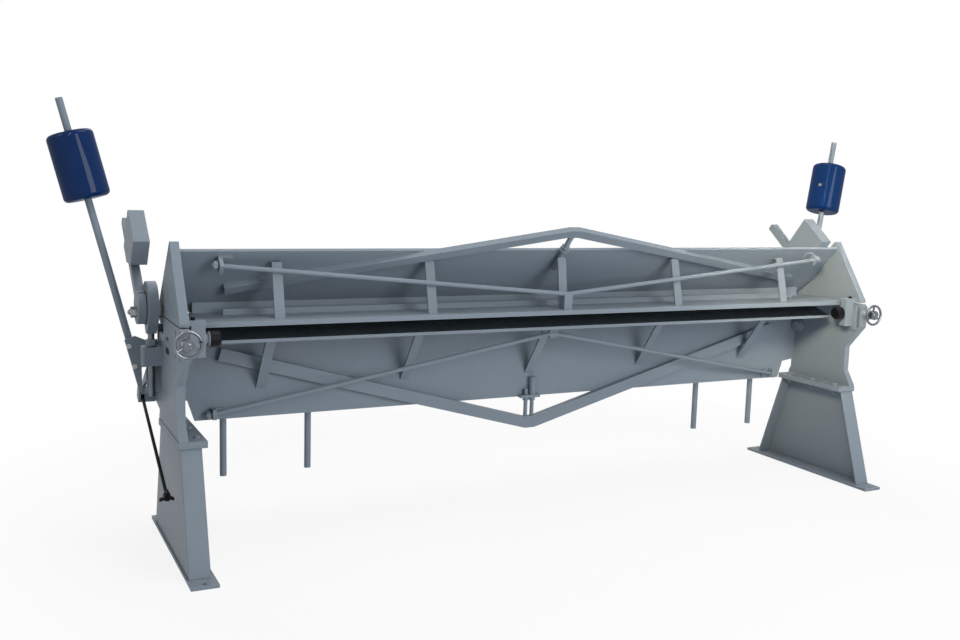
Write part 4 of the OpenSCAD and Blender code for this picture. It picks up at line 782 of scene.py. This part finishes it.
# %% Weld stitches
LOW_BAR_BACK, PLATE_TOP = 0.0337, 0.8742
STITCHES_A_SIDE, STITCH_STEP, STITCH_HALF, STITCH_RADIUS = 10, 0.12, 0.017, 0.0042
RIPPLES, RIPPLE_DEPTH, BEAD_ROUND = 9, 0.08, 12


def bead(middle):
    """A stitch of weld along X: with s from -1 to 1 along it, the radius is that of an ellipse,
    sqrt(1 - s s), times fine ripples 1 + RIPPLE_DEPTH cos(pi RIPPLES s)."""
    s = np.linspace(-1, 1, 2 * RIPPLES + 1)
    radii = STITCH_RADIUS * np.sqrt(1 - s ** 2) * (1 + RIPPLE_DEPTH * np.cos(math.pi * RIPPLES * s))
    return turned(middle, (1, 0, 0), np.stack([radii, STITCH_HALF * s], axis=-1), BEAD_ROUND)


stitches = np.arange(-STITCHES_A_SIDE, STITCHES_A_SIDE + 1) * STITCH_STEP
welds = [bead((x, LOW_BAR_BACK, PLATE_TOP)) for x in stitches]
closed_piece("leaf_welds", welds, "leaf", "slate", FINE_SMOOTH)

# %% [markdown]
# The hubs of the chromed handwheels show a turned ring, a groove and a cap, and each rim has a boss
# with an empty hole for a crank handle. The groove's shade is painted as a thin disc of dark steel,
# and the hole's as a black disc. Cutting them into the wheel would change the imported solid, so
# they are turned forms about the wheel's axis, or beside it, on its rear face.

# %% Hubs and handle bosses of the wheels
RING_PROFILE = ((0.0135, 0), (0.0145, 0.0014), (0.0180, 0.0014), (0.0190, 0), (0.0135, 0))
HUB_CAP_PROFILE = ((0, 0), (0.0090, 0), (0.0086, 0.0016), (0.0062, 0.0030), (0.0030, 0.0034), (0, 0.0034))
BOSS_PROFILE = ((0, -0.006), (0.0066, -0.006), (0.0070, 0.0002), (0.0062, 0.0016), (0.0046, 0.0016),
                (0.0040, 0.0008), (0, 0.0008))
HOLE_SHADE_PROFILE, GROOVE_SHADE_PROFILE = cylinder(0.0039, 0.0006, 0.0012), cylinder(0.0134, 0, 0.0004)
WHEEL_X, WHEEL_Z, HUB_FACE, RIM_FACE = 1.585, 0.822, -0.3153, -0.3122
HOLE_REACH, HOLE_ANGLE = 0.0405, math.radians(13)
BOSS_ROUND, HOLE_ROUND = 28, 20
BACKWARDS = (0, -1, 0)
hole_x = WHEEL_X - HOLE_REACH * math.cos(HOLE_ANGLE)
hole_z = WHEEL_Z + HOLE_REACH * math.sin(HOLE_ANGLE)
for side_name, side in SIDES:
    wheel = side_name + "_wheel"
    hub, hole = (side * WHEEL_X, HUB_FACE, WHEEL_Z), (side * hole_x, RIM_FACE, hole_z)
    hub_grids = [turned(hub, BACKWARDS, profile) for profile in (RING_PROFILE, HUB_CAP_PROFILE)]
    closed_piece(side_name + "_hub_rings", hub_grids, wheel, "chrome")
    boss = turned(hole, BACKWARDS, BOSS_PROFILE, BOSS_ROUND)
    closed_piece(side_name + "_handle_boss", [boss], wheel, "chrome")
    # a black disc is the painted shade of the empty handle hole
    hole_shade = turned(hole, BACKWARDS, HOLE_SHADE_PROFILE, HOLE_ROUND)
    closed_piece(side_name + "_handle_hole_shade", [hole_shade], wheel, "black")
    # a thin dark steel disc is the painted shade of the groove between cap and ring
    groove = turned(hub, BACKWARDS, GROOVE_SHADE_PROFILE)
    closed_piece(side_name + "_hub_groove_shade", [groove], wheel, "dark")

# %% [markdown]
# The left frame has two slots, which look like short dark bars from outside. A Boolean could cut
# them, but the imported solid is left as it is, so each is a thin black plate on the frame's face,
# painted shade of the slot: four rings, from a middle point to the outline and back, close it as
# the turned forms close.
# four rings, from a middle point to the outline and back, close it as the turned forms close.

# %% Painted shade of the slots of the left frame
SLOT_FACE, SLOT_PROUD, SLOT_ROUND = -1.5999, 0.0006, 32
# the height and half width of each slot, and where along the frame both lie
SLOT_ROWS = ((0.797, 0.007), (0.752, 0.012))
SLOT_REAR, SLOT_FRONT, SLOT_STRETCH = -0.020, 0.046, 4


def slot_shade_plate(height, half):
    """A flat plate whose outline at the angle a, from the slot's middle, is
    (y, z) = (SLOT_STRETCH half cos a, half sin a), with y held between the slot's ends."""
    angle = full_turn(SLOT_ROUND)
    middle, reach = (SLOT_FRONT + SLOT_REAR) / 2, (SLOT_FRONT - SLOT_REAR) / 2
    y = middle + np.clip(SLOT_STRETCH * half * np.cos(angle), -reach, reach)
    rim = np.stack([np.full(SLOT_ROUND, SLOT_FACE), y, height + half * np.sin(angle)], axis=-1)
    core = np.repeat(rim.mean(0)[None], SLOT_ROUND, axis=0)
    proud = np.array([-SLOT_PROUD, 0, 0])
    return np.stack([core, rim, rim + proud, core + proud])


# each black plate is the painted shade of a slot
closed_piece("frame_slot_shades", [slot_shade_plate(*row) for row in SLOT_ROWS], "stand", "black")
